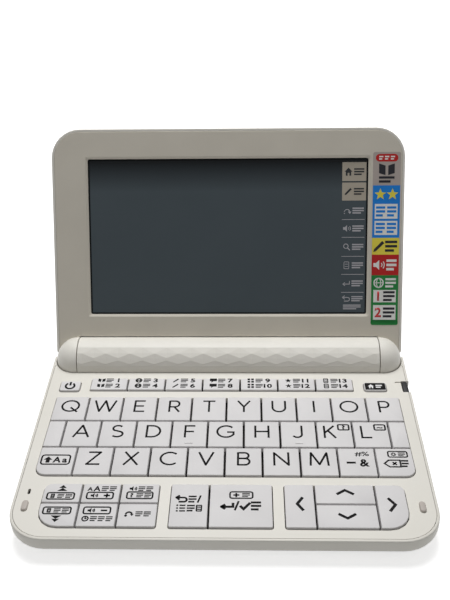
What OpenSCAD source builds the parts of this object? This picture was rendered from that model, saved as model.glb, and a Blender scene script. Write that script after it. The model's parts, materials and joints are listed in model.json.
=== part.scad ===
// Pocket electronic dictionary: a clamshell with a hinge barrel that holds two AA cells in line.
// X runs to the right, Y to the rear, Z up. The lid stands open at the angle lid_open.

/* [Case] */
// Width of the base
body_w = 148; // [147:0.5:150]
// Width of the base where its front corners begin
front_w = 146; // [145:0.5:147]
// Depth of the closed body, front edge to the back of the barrel
body_d = 105.5; // [105:0.5:107]
// Height of the keyboard deck above the table
deck_z = 9.4; // [9.3:0.05:9.6]
// Radius of the two front corners in plan
front_r = 13.5; // [11:0.5:14]
// Height of the rubber feet
foot_h = 0.6; // [0.5:0.05:0.7]

/* [Hinge barrel] */
// Outer radius of the barrel
barrel_r = 9.2; // [9.15:0.05:9.3]
// Half length of the middle of the barrel, which belongs to the base
barrel_half = 62.6; // [62.4:0.1:62.8]
// Distance from the middle to the tip of a domed cap, which belongs to the lid
dome_tip = 72.6; // [72:0.1:73]
// Spacing of the diamond facets along the barrel
facet_pitch = 10.1; // [9.9:0.1:10.3]

/* [Lid] */
// Angle by which the lid stands open
lid_open = 117; // [100:1:150]
// Half width of the lid
lid_half = 73.2; // [73:0.1:73.6]
// Length of the lid from the hinge axis to its free edge
lid_len = 96.3; // [96:0.1:97]
// Radius of the free corners of the lid
lid_corner = 12; // [10:1:14]
// Width of the display's glass that shows
screen_w = 116.4; // [114:0.2:117]
// Height of the display's glass that shows
screen_h = 64.9; // [64:0.1:66]
// Distance from the hinge axis to the lower edge of the glass
screen_low = 19; // [18.5:0.5:20]

/* [Keys] */
// Width of one letter key with its gap
key_pitch = 13.64; // [13.5:0.02:13.66]
// Depth of one letter row with its gap
key_row = 14.3; // [14:0.05:14.3]
// Gap between neighbouring keys
key_gap = 0.7; // [0.65:0.05:0.9]
// Height of the key tops above the deck
key_proud = 0.8; // [0.6:0.05:0.85]

/* [Stylus] */
// Length of the stylus
pen_len = 62; // [58:1:63]

/* [Hidden] */
$fn = 48;

// Colours
ivory = [0.90, 0.89, 0.85];
key_white = [0.88, 0.88, 0.88];
bezel_ivory = [0.87, 0.86, 0.81];
dark_grey = [0.27, 0.27, 0.28];
black = [0.10, 0.10, 0.11];
steel = [0.72, 0.73, 0.75];
board_green = [0.12, 0.36, 0.22];

// Main planes
half_w = body_w / 2;
front_y = -body_d / 2;
axis_y = body_d / 2 - barrel_r;
axis_z = deck_z;
deck_rear = axis_y - barrel_r - 0.35;
deck_tip = 39;
horn_rear = axis_y + 5;
horn_inner = 69.5;
horn_solid = 38.5;
floor_z = foot_h;
floor_top = floor_z + 1.2;
deck_under = deck_z - 1.2;

// Height and inset of the case wall, from the table up
case_wall = [[floor_z, 3.9], [1.0, 3.1], [2.0, 2.25], [4.0, 0.6], [5.0, 0.15], [5.8, 0],
    [deck_z - 0.5, 0], [deck_z - 0.25, 0.06], [deck_z - 0.08, 0.2], [deck_z, 0.42]];
case_hollow = [[floor_top, 4.3], [2.4, 3.6], [4.0, 2.1], [deck_under + 0.01, 2.1]];
nest_inset = 1.0;
deck_inset = 1.18;
rear_wall = 1.2;

// Stack inside the base
board_z = 3.1;
board_t = 0.8;
board_top = board_z + board_t;
plate_z = 4.1;
plate_t = 0.3;
mat_z = plate_z + plate_t;
mat_t = 0.4;
collar_top = 5.8;
plunger_end = 5.6;
plunger_r = 1.6;
collar_bore = 1.95;
collar_r = 2.9;
cap_bottom = 7.4;
key_top = deck_z + key_proud;

// Key field: cells are [x0, x1, y0, y1]
block_half = 5 * key_pitch;
block_rear = 18.2;
function row_y(i) = block_rear - i * key_row;
block_front = row_y(3);
cluster_rear = -28.4;
cluster_front = -48.1;
cluster_mid = -37.6;
left_x0 = -63;
left_pitch = 13.6;
centre_x = [-18.5, -5, 17];
arrow_x = [20.65, 31.3, 52.1, 62.7];
dict_x0 = -55.7;
dict_pitch = 15.23;
dict_y = [22.1, 29.8];
power_cell = [-68.2, -59.5, 21.5, 28];
home_cell = [54.8, 64.3, 21.9, 27.4];
sharp = 0.6;
soft = 4;
softer = 7.5;

function top_cell(i) = [-block_half + i * key_pitch, -block_half + (i + 1) * key_pitch, row_y(1), row_y(0)];
function middle_cell(i) = [-block_half + (i + 0.5) * key_pitch, -block_half + (i + 1.5) * key_pitch,
    row_y(2), row_y(1)];
function bottom_cell(i) = [-block_half + i * key_pitch, -block_half + (i + 1) * key_pitch,
    row_y(3), row_y(2)];
function blank_cell(side) = side < 0
    ? [-block_half, -block_half + key_pitch / 2, row_y(2), row_y(1)]
    : [block_half - key_pitch / 2, block_half, row_y(2), row_y(1)];
function dict_cell(i) = [dict_x0 + i * dict_pitch, dict_x0 + (i + 1) * dict_pitch, dict_y[0], dict_y[1]];
function left_cell(col, upper) = [left_x0 + col * left_pitch, left_x0 + (col + 1) * left_pitch,
    upper ? cluster_mid : cluster_front, upper ? cluster_rear : cluster_mid];
function centre_cell(i) = [centre_x[i], centre_x[i + 1], cluster_front, cluster_rear];
function arrow_cell(i) = [arrow_x[i], arrow_x[i + 1], cluster_front, cluster_rear];
function arrow_half(upper) = [arrow_x[1], arrow_x[2],
    upper ? cluster_mid : cluster_front, upper ? cluster_rear : cluster_mid];
function middle(c) = [(c[0] + c[1]) / 2, (c[2] + c[3]) / 2];
sprung_cells = concat([for (i = [0:9]) top_cell(i)], [for (i = [0:8]) middle_cell(i)],
    [for (i = [0:9]) bottom_cell(i)], [for (i = [0:6]) dict_cell(i)],
    [for (c = [0:2]) for (u = [true, false]) left_cell(c, u)], [centre_cell(0), centre_cell(1)],
    [arrow_cell(0), arrow_half(true), arrow_half(false), arrow_cell(2)], [power_cell, home_cell]);

// Openings in the deck: cell and the corner radii front left, front right, rear right, rear left
openings = [
    [[-block_half, block_half, block_front, block_rear], [soft, soft, sharp, sharp]],
    [[dict_x0, dict_x0 + 7 * dict_pitch, dict_y[0], dict_y[1]], [sharp, sharp, sharp, sharp]],
    [[left_x0, left_x0 + 3 * left_pitch, cluster_front, cluster_rear], [softer, 1, 1, 3]],
    [[centre_x[0], centre_x[2], cluster_front, cluster_rear], [1, 1, 1, 1]],
    [[arrow_x[0], arrow_x[3], cluster_front, cluster_rear], [1, softer, 3, 1]],
    [power_cell, [1.4, 1.4, 1, 1]],
    [home_cell, [1.4, 1.4, 1, 1]]];

// Screws, feet and sockets
corner_screws = [[-65.6, -43.6], [65.6, -43.6], [-66, 30.4], [66, 30.4]];
middle_screws = [[-20.35, -38.2], [18.8, -38.2]];
boss_r = 2.1;
slim_boss_r = 1.55;
screw_r = 0.75;
screw_head_r = 1.6;
front_feet = [[-57, -44.4], [57, -44.4]];
rear_foot_x = 57.4;
jack_y = -38.2;
jack_z = 4.3;
jack_bore = 1.8;
jack_front = -71.6;
jack_end = -58.8;
jack_depth = 12.4;
usb_y = [20.4, 27.8];
mic_at = [-68.1, -31.8];
speaker_at = [38, -38];
speaker_r = 8;
bumper_at = [[-68.15, -38.5], [67.5, -38.1]];

// Stylus, in its groove along the right side
pen_x = [70.4, 72.9];
pen_z = [4.7, 8.05];
pen_rear = 28.6;
pen_cap_len = 6.2;
pen_cap_x = [70.8, 73.05];
pen_front = pen_rear - pen_len;
groove_gap = 0.3;

// Barrel
bore_r = 7.4;
facet_flat = 8.4;
facet_mid = 136;
facet_half = acos(facet_flat / barrel_r);
cover_half = 52.2;
cover_from = -78;
cover_to = 28;
cell_r = 7.2;
cell_len = 50.5;
clutch_mid = 58.2;
clutch_half = 4.1;
pin_r = 2;

// Lid: b is the distance from the hinge axis, h the height over it with the lid shut
lid_gap = 1.1;
bezel_t = 1;
lid_low = 9.65;
notch_r = 9.6;
notch_floor = 4.5;
leg_low = 2.4;
lid_wall = [[lid_gap + 0.1, 0.3], [lid_gap + 0.5, 0], [4.2, 0], [5.6, 0.5], [6.4, 1.4], [6.8, 3.0]];
lid_hollow = [[lid_gap + bezel_t - 0.01, 2.2], [4.6, 2.2], [5.2, 2.8], [5.7, 4.0]];
lid_nest = 1.05;
window_z = lid_gap + bezel_t;
window_t = 1;
lcd_t = 1.2;
backlight_t = 0.7;
lid_screw_at = [[-65.5, -26], [65.5, -26], [-65.5, -79], [65.5, -79]];

// The origin is below the middle of the object's box
lid_reach = max([for (p = lid_wall) -cos(lid_open) * (lid_len - p[1]) + sin(lid_open) * p[0]]);
origin_y = -(front_y + axis_y + lid_reach) / 2;

module placed() {
    translate([0, origin_y, 0]) children();
}

module on_lid() {
    translate([0, origin_y + axis_y, axis_z]) rotate([-lid_open, 0, 0]) children();
}

module along_x(x0, x1) {
    translate([x0, 0, 0]) rotate([90, 0, 90]) linear_extrude(x1 - x0) children();
}

module drum(r, x0, x1) {
    translate([x0, 0, 0]) rotate([0, 90, 0]) cylinder(h = x1 - x0, r = r);
}

// Outlines: arcs of n steps, and a rectangle with its own radius at each corner
function arc(cx, cy, r, from, n) = [for (i = [0:n]) let (a = from + 90 * i / n)
    [cx + r * cos(a), cy + r * sin(a)]];
function round_rect(x0, x1, y0, y1, r, n) = concat(
    arc(x1 - r[1], y0 + r[1], r[1], 270, n), arc(x1 - r[2], y1 - r[2], r[2], 0, n),
    arc(x0 + r[3], y1 - r[3], r[3], 90, n), arc(x0 + r[0], y0 + r[0], r[0], 180, n));

// Solid between outlines of equal length, each at its own height
module loft(outlines, heights) {
    n = len(outlines[0]);
    m = len(outlines);
    sides = [for (k = [0:m - 2]) for (j = [0:n - 1]) for (t = [0, 1])
        t == 0 ? [k * n + j, (k + 1) * n + j, (k + 1) * n + (j + 1) % n]
               : [k * n + j, (k + 1) * n + (j + 1) % n, k * n + (j + 1) % n]];
    polyhedron(points = [for (k = [0:m - 1]) for (p = outlines[k]) [p[0], p[1], heights[k]]],
        faces = concat([[for (j = [0:n - 1]) j]], sides, [[for (j = [n - 1:-1:0]) (m - 1) * n + j]]));
}

// The base widens a little from its front corners to the rear
function half_at(y) = let (start = front_y + front_r)
    front_w / 2 + (half_w - front_w / 2) * (y - start) / (horn_rear - start);
function case_outline(i, rear) = let (x = front_w / 2 - front_r, y = front_y + front_r,
    end = half_at(rear) - i - 0.6)
    concat(arc(x, y, front_r - i, 270, 8), arc(end, rear - 0.6, 0.6, 0, 8),
        arc(-end, rear - 0.6, 0.6, 90, 8), arc(-x, y, front_r - i, 180, 8));

module case_loft(wall, rear) {
    loft([for (p = wall) case_outline(p[1], rear)], [for (p = wall) p[0]]);
}

// The lid's outline keeps its corners' centres as it is drawn in
function lid_outline(i, low) = round_rect(-lid_half + i, lid_half - i, -lid_len + i, -low,
    [lid_corner - i, lid_corner - i, 0.8, 0.8], 8);

module lid_loft(wall, low) {
    loft([for (p = wall) lid_outline(p[1], low)], [for (p = wall) p[0]]);
}

// Hollow of the lid round the barrel, open below so that the battery cover slides out under it
module barrel_notch() {
    end = barrel_half + 0.45;
    along_x(-end, end) {
        circle(r = notch_r);
        rotate(lid_open) translate([-40, -40]) square([80, 40 + notch_floor]);
    }
}

// Domed end of the barrel: a straight start, then an elliptical end
module dome(side, grow) {
    x0 = barrel_half + 1.5;
    r = barrel_r + grow;
    rotate([0, 90 * side, 0]) rotate_extrude()
        polygon(concat([[0, barrel_half + 0.4], [r, barrel_half + 0.4]],
            [for (a = [0:10:80]) [r * cos(a), x0 + (dome_tip + grow - x0) * sin(a)]],
            [[0, dome_tip + grow]]));
}

// Room in the base for the barrel and the domes, with the rear of the two horns beside them
module hinge_room() {
    end = barrel_half + 0.35;
    translate([-end, deck_rear, -1]) cube([2 * end, 30, 20]);
    translate([-horn_inner, horn_solid, -1]) cube([2 * horn_inner, 30, 20]);
    translate([0, axis_y, axis_z]) {
        for (s = [-1, 1]) dome(s, 0.4);
        along_x(-80, 80) polygon([[1.5, 3], [1.5, 0], [2.1, -0.4], [3.2, -2.1], [4.5, -4.8], [4.9, -6.6],
            [4.6, -8.2], [4.1, -8.9], [20, -9.4], [20, 3]]);
    }
}

module pocket(cell, radii, z0, z1, grow) {
    translate([0, 0, z0]) linear_extrude(z1 - z0)
        polygon(round_rect(cell[0] - grow, cell[1] + grow, cell[2] - grow, cell[3] + grow,
            [for (r = radii) r + grow], 4));
}

// One moulded key top: a cap with a soft edge, and a plunger that runs in the mat's collar
module key_cap(cell, radii) {
    g = key_gap / 2;
    function shape(i) = round_rect(cell[0] + g + i, cell[1] - g - i, cell[2] + g + i, cell[3] - g - i,
        [for (r = radii) max(r - g - i, 0.25)], 3);
    loft([shape(0), shape(0), shape(0.35)], [cap_bottom, key_top - 0.3, key_top]);
}

module key(cell, radii = [sharp, sharp, sharp, sharp]) {
    c = middle(cell);
    color(key_white) {
        key_cap(cell, radii);
        translate([c[0], c[1], plunger_end]) cylinder(h = cap_bottom - plunger_end, r = plunger_r, $fn = 24);
    }
}

module screw_boss(at, r, z0, z1) {
    translate([at[0], at[1], z0]) cylinder(h = z1 - z0, r = r, $fn = 32);
}

module bottom_case() {
    color(ivory) placed() difference() {
        union() {
            difference() {
                case_loft(case_wall, horn_rear);
                case_loft(case_hollow, deck_rear - rear_wall);
                case_loft([[deck_under, nest_inset], [deck_z + 1, nest_inset]], deck_tip + 0.15);
                hinge_room();
            }
            // Screw bosses, board rests and the wall behind the stylus
            for (at = corner_screws) screw_boss(at, boss_r, floor_z + 0.4, 5);
            for (at = middle_screws) {
                screw_boss(at, 2.5, floor_z + 0.4, 2.6);
                screw_boss(at, slim_boss_r, 2, 5);
            }
            for (x = [-56, 56], y = [-25, 10]) screw_boss([x, y], 1.5, floor_z + 0.4, board_z);
            for (x = [-14, 14], y = [-20, 24]) screw_boss([x, y], 1.5, floor_z + 0.4, board_z);
            translate([64.4, -22, floor_z + 0.4]) cube([1.6, 36, plate_z - floor_z - 0.4]);
            translate([-66, -22, floor_z + 0.4]) cube([1.6, 18, plate_z - floor_z - 0.4]);
            translate([69.3, pen_front - 1.2, 3.4]) cube([2.5, pen_len + 2.4, deck_under - 3.4]);
            // Saddle that carries the barrel
            difference() {
                along_x(-barrel_half + 0.3, barrel_half - 0.3)
                    polygon([[deck_rear - 0.5, floor_z], [41.4, floor_z], [deck_rear - 0.5, 6.8]]);
                translate([0, axis_y, axis_z]) drum(barrel_r, -70, 70);
            }
        }
        // Groove for the stylus, and the window over its dark end
        translate([pen_x[0] - groove_gap, pen_front - groove_gap, pen_z[0] - 0.25])
            cube([6, pen_len + 2 * groove_gap, deck_under + 0.1 - pen_z[0] + 0.25]);
        translate([pen_x[0] - groove_gap, pen_rear - pen_cap_len - groove_gap, pen_z[0] - 0.25])
            cube([6, pen_cap_len + 2 * groove_gap, 6]);
        // Screw holes
        for (at = concat(corner_screws, middle_screws)) {
            translate([at[0], at[1], 0]) cylinder(h = 1.7, r = screw_head_r + 0.2, $fn = 32);
            translate([at[0], at[1], 0]) cylinder(h = 6, r = screw_r + 0.1, $fn = 24);
        }
        // Sockets on the left side
        translate([0, jack_y, jack_z]) drum(2.7, -80, -68.4);
        translate([-80, usb_y[0] - 0.3, board_top - 0.2]) cube([10.4, usb_y[1] - usb_y[0] + 0.6, 2.9]);
        translate([-80, 0.8, 2.0]) cube([11, 12.4, 0.95]);
        // Sound slots
        for (i = [-2:2]) {
            translate([speaker_at[0] + 2.6 * i - 0.6, speaker_at[1] - 4.5, 0]) cube([1.2, 9, 2.5]);
        }
    }
}

module keyboard_deck() {
    color(ivory) placed() difference() {
        union() {
            case_loft([[deck_under, deck_inset], [deck_z, deck_inset]], deck_tip);
            for (o = openings) pocket(o[0], o[1], 7.0, deck_under + 0.2, 0.8);
            for (at = corner_screws) screw_boss(at, boss_r, 5, deck_under + 0.2);
            for (at = middle_screws) screw_boss(at, slim_boss_r, 5, deck_under + 0.2);
        }
        for (o = openings) pocket(o[0], o[1], 6, deck_z + 1, 0);
        for (at = concat(corner_screws, middle_screws)) {
            translate([at[0], at[1], 4]) cylinder(h = 3.4, r = screw_r + 0.05, $fn = 24);
        }
        hinge_room();
        // Window for the stylus's end, and the nail notch beside it
        translate([pen_cap_x[0] - groove_gap, pen_rear - pen_cap_len - groove_gap, 5])
            cube([6, pen_cap_len + 2 * groove_gap, 6]);
        pocket([67.9, 71, 22.8, 28.6], [0.5, 0.5, 0.5, 0.5], deck_z - 0.45, deck_z + 1, 0);
        // Sound hole over the microphone
        translate([mic_at[0], mic_at[1], 7]) linear_extrude(4) {
            square([1, 1.5], center = true);
            for (s = [-1, 1]) translate([0, 0.75 * s]) circle(r = 0.5, $fn = 16);
        }
    }
}

// The faceted band: a ring of seven points at every half pitch along it, five on its face and
// two sunk into the barrel, each as [angle, radius]
ring = 7;
edge_r = barrel_r - 0.03;
sunk_r = (facet_flat - 0.3) / cos(20);
facet_columns = concat([-barrel_half], [for (i = [-12:12]) i * facet_pitch / 2], [barrel_half]);
facet_count = len(facet_columns);
sunk_points = [[facet_mid + 20, sunk_r], [facet_mid - 20, sunk_r]];
peak_ring = concat([[facet_mid - facet_half, edge_r], [128.3, barrel_r], [142, barrel_r - 0.22],
    [155.7, barrel_r], [facet_mid + facet_half, edge_r]], sunk_points);
valley_ring = concat([[facet_mid - facet_half, edge_r], [127, barrel_r - 0.2], [140, barrel_r],
    [146.5, barrel_r], [facet_mid + facet_half, edge_r]], sunk_points);
end_mix = (barrel_half - 6 * facet_pitch) / (facet_pitch / 2);
end_ring = [for (k = [0:ring - 1]) peak_ring[k] * (1 - end_mix) + valley_ring[k] * end_mix];
function facet_ring(c) = c == 0 || c == facet_count - 1 ? end_ring : c % 2 == 1 ? peak_ring : valley_ring;
function facet_point(c, k) = let (p = facet_ring(c)[k])
    [facet_columns[c], p[1] * cos(p[0]), p[1] * sin(p[0])];
// A panel between two rings, cut along the diagonal that keeps each diamond whole
function facet_pair(c, k) = let (a = c * ring + k, b = a + ring, next = k == ring - 1 ? 1 - ring : 1,
    peak = c % 2 == 1)
    (k == 0) == peak || k > 2
        ? [[a, b, a + next], [a + next, b, b + next]]
        : [[a, b, b + next], [a, b + next, a + next]];

module facet_band() {
    last = ring * (facet_count - 1);
    polyhedron(
        points = [for (c = [0:facet_count - 1]) for (k = [0:ring - 1]) facet_point(c, k)],
        faces = concat(
            [for (c = [0:facet_count - 2]) for (k = [0:ring - 1]) for (f = facet_pair(c, k)) f],
            [[for (k = [0:ring - 1]) k]],
            [[for (k = [ring - 1:-1:0]) last + k]]));
}

module sector(from, to, r) {
    steps = 8;
    polygon(concat([[0, 0]], [for (i = [0:steps]) let (a = from + (to - from) * i / steps)
        [r * cos(a), r * sin(a)]]));
}

module barrel_shell() {
    color(ivory) placed() translate([0, axis_y, axis_z]) {
        difference() {
            drum(barrel_r, -barrel_half, barrel_half);
            drum(bore_r, -cover_half - 0.4, cover_half + 0.4);
            for (s = [-1, 1]) drum(bore_r, s * clutch_mid - 4.6, s * clutch_mid + 4.6);
            // Opening under the battery cover
            along_x(-cover_half - 0.3, cover_half + 0.3) sector(cover_from, cover_to, 14);
            // Seat of the faceted band, and the flat underside
            rotate([facet_mid, 0, 0]) translate([-70, facet_flat, -10]) cube([140, 10, 20]);
            translate([-70, -10, floor_z - axis_z - 5]) cube([140, 20, 5]);
        }
        facet_band();
    }
}

module battery_cover() {
    color(ivory) placed() translate([0, axis_y, axis_z]) difference() {
        intersection() {
            difference() {
                drum(barrel_r, -cover_half, cover_half);
                drum(bore_r + 0.1, -70, 70);
            }
            along_x(-cover_half, cover_half) sector(cover_from + 2, cover_to - 2, 14);
        }
        translate([-70, -10, floor_z - axis_z - 5]) cube([140, 20, 5]);
        // Thumb grooves along the back
        for (i = [-2:2]) rotate([6 * i - 5, 0, 0]) translate([-7, barrel_r - 0.25, -0.25]) cube([14, 1, 0.5]);
    }
}

module battery_cells() {
    color([0.25, 0.35, 0.55]) placed() translate([0, axis_y, axis_z]) for (x0 = [-cell_len, 0]) {
        drum(cell_r, x0 + 0.05, x0 + cell_len - 1.1);
        drum(2.7, x0 + cell_len - 1.1, x0 + cell_len - 0.05);
    }
}

module battery_contacts() {
    color(steel) placed() translate([0, axis_y, axis_z]) for (s = [-1, 1]) {
        drum(5.5, s * 51.9 - 0.3, s * 51.9 + 0.3);
        drum(2.2, s * 51.05 - 0.55, s * 51.05 + 0.55);
    }
}

module hinge_clutches() {
    color(steel) placed() translate([0, axis_y, axis_z]) for (s = [-1, 1]) difference() {
        drum(bore_r - 0.05, s * clutch_mid - clutch_half, s * clutch_mid + clutch_half);
        drum(pin_r + 0.05, s * clutch_mid - 6, s * clutch_mid + 6);
        for (a = [0, 120, 240]) rotate([a, 0, 0]) translate([0, 4.8, 0]) drum(1, s * 61 - 2, s * 61 + 2);
    }
}

module key_footprint(z, t, grow) {
    for (i = [0, 1]) pocket(openings[i][0], [1, 1, 1, 1], z, z + t, grow);
    translate([left_x0, cluster_front, z]) cube([arrow_x[3] - left_x0, cluster_rear - cluster_front + 5, t]);
    translate([-50, block_rear - 1, z]) cube([100, 6, t]);
    translate([-66.9, dict_y[0] - 0.4, z]) cube([132, 5.4, t]);
}

module board_cutouts(z) {
    for (at = middle_screws) translate([at[0], at[1], z]) cylinder(h = 2.4, r = 2.9, $fn = 32);
    translate([-80, jack_y - 3.6, z]) cube([80 + jack_end + 0.2, 7.2, 3]);
}

module main_board() {
    color(board_green) placed() {
        difference() {
            union() {
                translate([-62, -47.5, board_z]) cube([124, 78, board_t]);
                // Tongue that carries the data socket
                translate([-70.4, usb_y[0], board_z]) cube([9, usb_y[1] - usb_y[0], board_t]);
            }
            board_cutouts(board_z - 1);
            translate([speaker_at[0], speaker_at[1], board_z - 1]) cylinder(h = 3, r = speaker_r + 0.5);
        }
        // Processor, memory, clock and power parts on the underside
        translate([-9, -8, board_z - 1]) cube([18, 18, 1]);
        translate([16, -6, board_z - 0.9]) cube([12, 14, 0.9]);
        translate([-32, -4, board_z - 0.9]) cube([12, 9, 0.9]);
        translate([-6, 16, board_z - 0.9]) cube([8, 3.2, 0.9]);
        for (i = [0:4]) translate([20 + 5 * i, 22, board_z - 0.8]) cube([2.4, 1.6, 0.8]);
        for (i = [0:3]) translate([-44 + 5 * i, 16, board_z - 0.8]) cube([2.4, 1.6, 0.8]);
    }
}

module key_support_plate() {
    color(steel) placed() difference() {
        key_footprint(plate_z, plate_t, 0.2);
        board_cutouts(plate_z - 1);
    }
}

module key_mat() {
    color([0.75, 0.75, 0.78]) placed() {
        difference() {
            key_footprint(mat_z, mat_t, 0);
            board_cutouts(mat_z - 1);
        }
        for (c = sprung_cells) translate([middle(c)[0], middle(c)[1], mat_z + mat_t]) difference() {
            cylinder(h = collar_top - mat_z - mat_t, r = collar_r, $fn = 24);
            cylinder(h = 3, r = collar_bore, $fn = 24);
        }
    }
}

module blank_key_caps() {
    color(key_white) placed() for (side = [-1, 1]) {
        c = middle(blank_cell(side));
        key_cap(blank_cell(side), [sharp, sharp, sharp, sharp]);
        translate([c[0], c[1], mat_z + mat_t])
            cylinder(h = cap_bottom - mat_z - mat_t, r = plunger_r, $fn = 24);
    }
}

module speaker() {
    color(dark_grey) placed() translate([speaker_at[0], speaker_at[1], floor_top]) rotate_extrude()
        polygon([[0, 0.5], [3, 0.7], [5.5, 0.2], [speaker_r - 0.6, 0.2], [speaker_r - 0.6, 0], [speaker_r, 0],
            [speaker_r, 1.3], [4.5, 1.3], [4.5, 2.1], [0, 2.1]]);
}

module microphone() {
    color(black) placed() translate([mic_at[0], mic_at[1], deck_under - 1.4]) difference() {
        cylinder(h = 1.4, r = 2);
        translate([0, 0, 0.5]) cylinder(h = 2, r = 1.3);
    }
}

module headphone_jack() {
    color(black) placed() difference() {
        union() {
            translate([-68.6, jack_y - 2.9, floor_top + 0.1]) cube([68.6 + jack_end, 5.8, 4.6]);
            translate([0, jack_y, jack_z]) drum(2.5, jack_front, -68);
        }
        translate([0, jack_y, jack_z]) drum(jack_bore, -75, jack_front + jack_depth);
    }
}

module usb_socket() {
    color(steel) placed() difference() {
        translate([-73, usb_y[0], board_top]) cube([5.6, usb_y[1] - usb_y[0], 2.5]);
        translate([-74, usb_y[0] + 0.4, board_top + 0.35]) cube([5.9, usb_y[1] - usb_y[0] - 0.8, 1.8]);
    }
}

module card_socket() {
    color(steel) placed() difference() {
        translate([-69.2, 0, floor_top + 0.02]) cube([10.6, 14, 1.2]);
        translate([-72, 1.2, floor_top + 0.3]) cube([12, 11.6, 0.75]);
    }
}

module lid_bumpers() {
    function shape(i) = round_rect(i - 1.1, 1.1 - i, i - 2.3, 2.3 - i, [for (k = [0:3]) 1.1 - i], 4);
    color([0.72, 0.69, 0.67]) placed() for (at = bumper_at) translate([at[0], at[1], deck_z])
        loft([shape(0), shape(0), shape(0.25), shape(0.7)], [0, 0.45, 0.75, 0.85]);
}

module rubber_feet() {
    color(dark_grey) placed() {
        for (at = front_feet) translate([at[0], at[1], 0]) {
            cylinder(h = floor_z, r1 = 3.6, r2 = 3.9, $fn = 40);
        }
        for (s = [-1, 1]) translate([s * rear_foot_x - 4, axis_y - 2.3, 0]) cube([8, 4.6, floor_z]);
    }
}

module case_screws() {
    color(steel) placed() for (at = concat(corner_screws, middle_screws)) translate([at[0], at[1], 0.9])
        difference() {
            union() {
                cylinder(h = 0.8, r = screw_head_r, $fn = 32);
                cylinder(h = 6.2, r = screw_r, $fn = 24);
            }
            for (a = [0, 90]) rotate([0, 0, a]) translate([-1, -0.15, -0.1]) cube([2, 0.3, 0.5]);
        }
}

module power_key() { placed() key(power_cell, [1.4, 1.4, 1, 1]); }
module home_key() { placed() key(home_cell, [1.4, 1.4, 1, 1]); }
module dictionary_key_1() { placed() key(dict_cell(0)); }
module dictionary_key_2() { placed() key(dict_cell(1)); }
module dictionary_key_3() { placed() key(dict_cell(2)); }
module dictionary_key_4() { placed() key(dict_cell(3)); }
module dictionary_key_5() { placed() key(dict_cell(4)); }
module dictionary_key_6() { placed() key(dict_cell(5)); }
module dictionary_key_7() { placed() key(dict_cell(6)); }
module letter_row_top() { placed() for (i = [0:9]) key(top_cell(i)); }

module letter_row_middle() {
    placed() for (i = [0:8]) key(middle_cell(i));
    // Locating bars on the two keys where the forefingers rest
    color(key_white) placed() for (i = [3, 6]) {
        c = middle(middle_cell(i));
        translate([c[0] - 1.5, c[1] - 5.2, key_top - 0.05]) cube([3, 0.5, 0.25]);
    }
}

module letter_row_bottom() { placed() for (i = [1:7]) key(bottom_cell(i)); }
module shift_key() { placed() key(bottom_cell(0), [soft, sharp, sharp, sharp]); }
module symbol_key() { placed() key(bottom_cell(8)); }
module delete_key() { placed() key(bottom_cell(9), [sharp, soft, sharp, sharp]); }
module page_up_key() { placed() key(left_cell(0, true), [sharp, sharp, sharp, 3]); }
module page_down_key() { placed() key(left_cell(0, false), [softer, sharp, sharp, sharp]); }
module text_size_key() { placed() key(left_cell(1, true)); }
module history_key() { placed() key(left_cell(1, false)); }
module guide_key() { placed() key(left_cell(2, true), [sharp, sharp, 1, sharp]); }
module jump_key() { placed() key(left_cell(2, false), [sharp, 1, sharp, sharp]); }
module back_key() { placed() key(centre_cell(0), [1, sharp, sharp, 1]); }
module enter_key() { placed() key(centre_cell(1), [sharp, 1, 1, sharp]); }
module left_key() { placed() key(arrow_cell(0), [1, sharp, sharp, 1]); }
module up_key() { placed() key(arrow_half(true)); }
module down_key() { placed() key(arrow_half(false)); }
module right_key() { placed() key(arrow_cell(2), [sharp, softer, 3, sharp]); }

// The stylus lies along Y, so its outline is drawn in X and Z
function pen_shape(i) = round_rect(pen_x[0] + i, pen_x[1] - i, pen_z[0] + i, pen_z[1] - i,
    [0.4 - 0.28 * i, 1 - 0.8 * i, 1 - 0.8 * i, 0.4 - 0.28 * i], 4);

module stylus_barrel() {
    color(ivory) placed() rotate([90, 0, 0])
        loft([pen_shape(0), pen_shape(0), pen_shape(0.5)],
            [-(pen_rear - pen_cap_len), -(pen_front + 5), -(pen_front + 3)]);
}

module stylus_ends() {
    function cap_shape(i) = round_rect(pen_cap_x[0] + i, pen_cap_x[1] - i, pen_z[0] + i, deck_z - 0.1 - i,
        [0.4, 0.7, 0.6, 0.3], 4);
    color(dark_grey) placed() rotate([90, 0, 0]) {
        loft([cap_shape(0.35), cap_shape(0.1), cap_shape(0), cap_shape(0), cap_shape(0.15)],
            [-pen_rear, -(pen_rear - 0.15), -(pen_rear - 0.5), -(pen_rear - pen_cap_len + 0.3),
            -(pen_rear - pen_cap_len)]);
        loft([pen_shape(0.6), pen_shape(0.8), pen_shape(1.05)],
            [-(pen_front + 3), -(pen_front + 0.8), -pen_front]);
    }
}

module lid_back_cover() {
    color(ivory) on_lid() difference() {
        union() {
            difference() {
                lid_loft(lid_wall, leg_low);
                lid_loft(lid_hollow, lid_low + 1.2);
                lid_loft([[0, lid_nest], [window_z, lid_nest]], leg_low - 2);
                barrel_notch();
            }
            for (at = lid_screw_at) screw_boss(at, 1.8, 3.6, 6);
        }
        for (at = lid_screw_at) screw_boss(at, 0.65, 3.5, 5.6);
        for (s = [-1, 1]) dome(s, 0.03);
    }
}

module lid_bezel() {
    w = screen_w / 2;
    color(bezel_ivory) on_lid() difference() {
        lid_loft([[lid_gap, lid_nest + 0.25], [lid_gap + 0.2, lid_nest + 0.05],
            [window_z, lid_nest + 0.05]], leg_low);
        barrel_notch();
        for (s = [-1, 1]) dome(s, 0.03);
        loft([for (i = [1.1, 0.95, 0.05, 0.05])
                round_rect(-w - i, w + i, -screen_low - screen_h - i, -screen_low + i,
                    [0.8, 0.8, 0.8, 0.8], 3)],
            [lid_gap - 0.1, lid_gap + 0.05, lid_gap + 0.7, window_z + 0.1]);
    }
}

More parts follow.
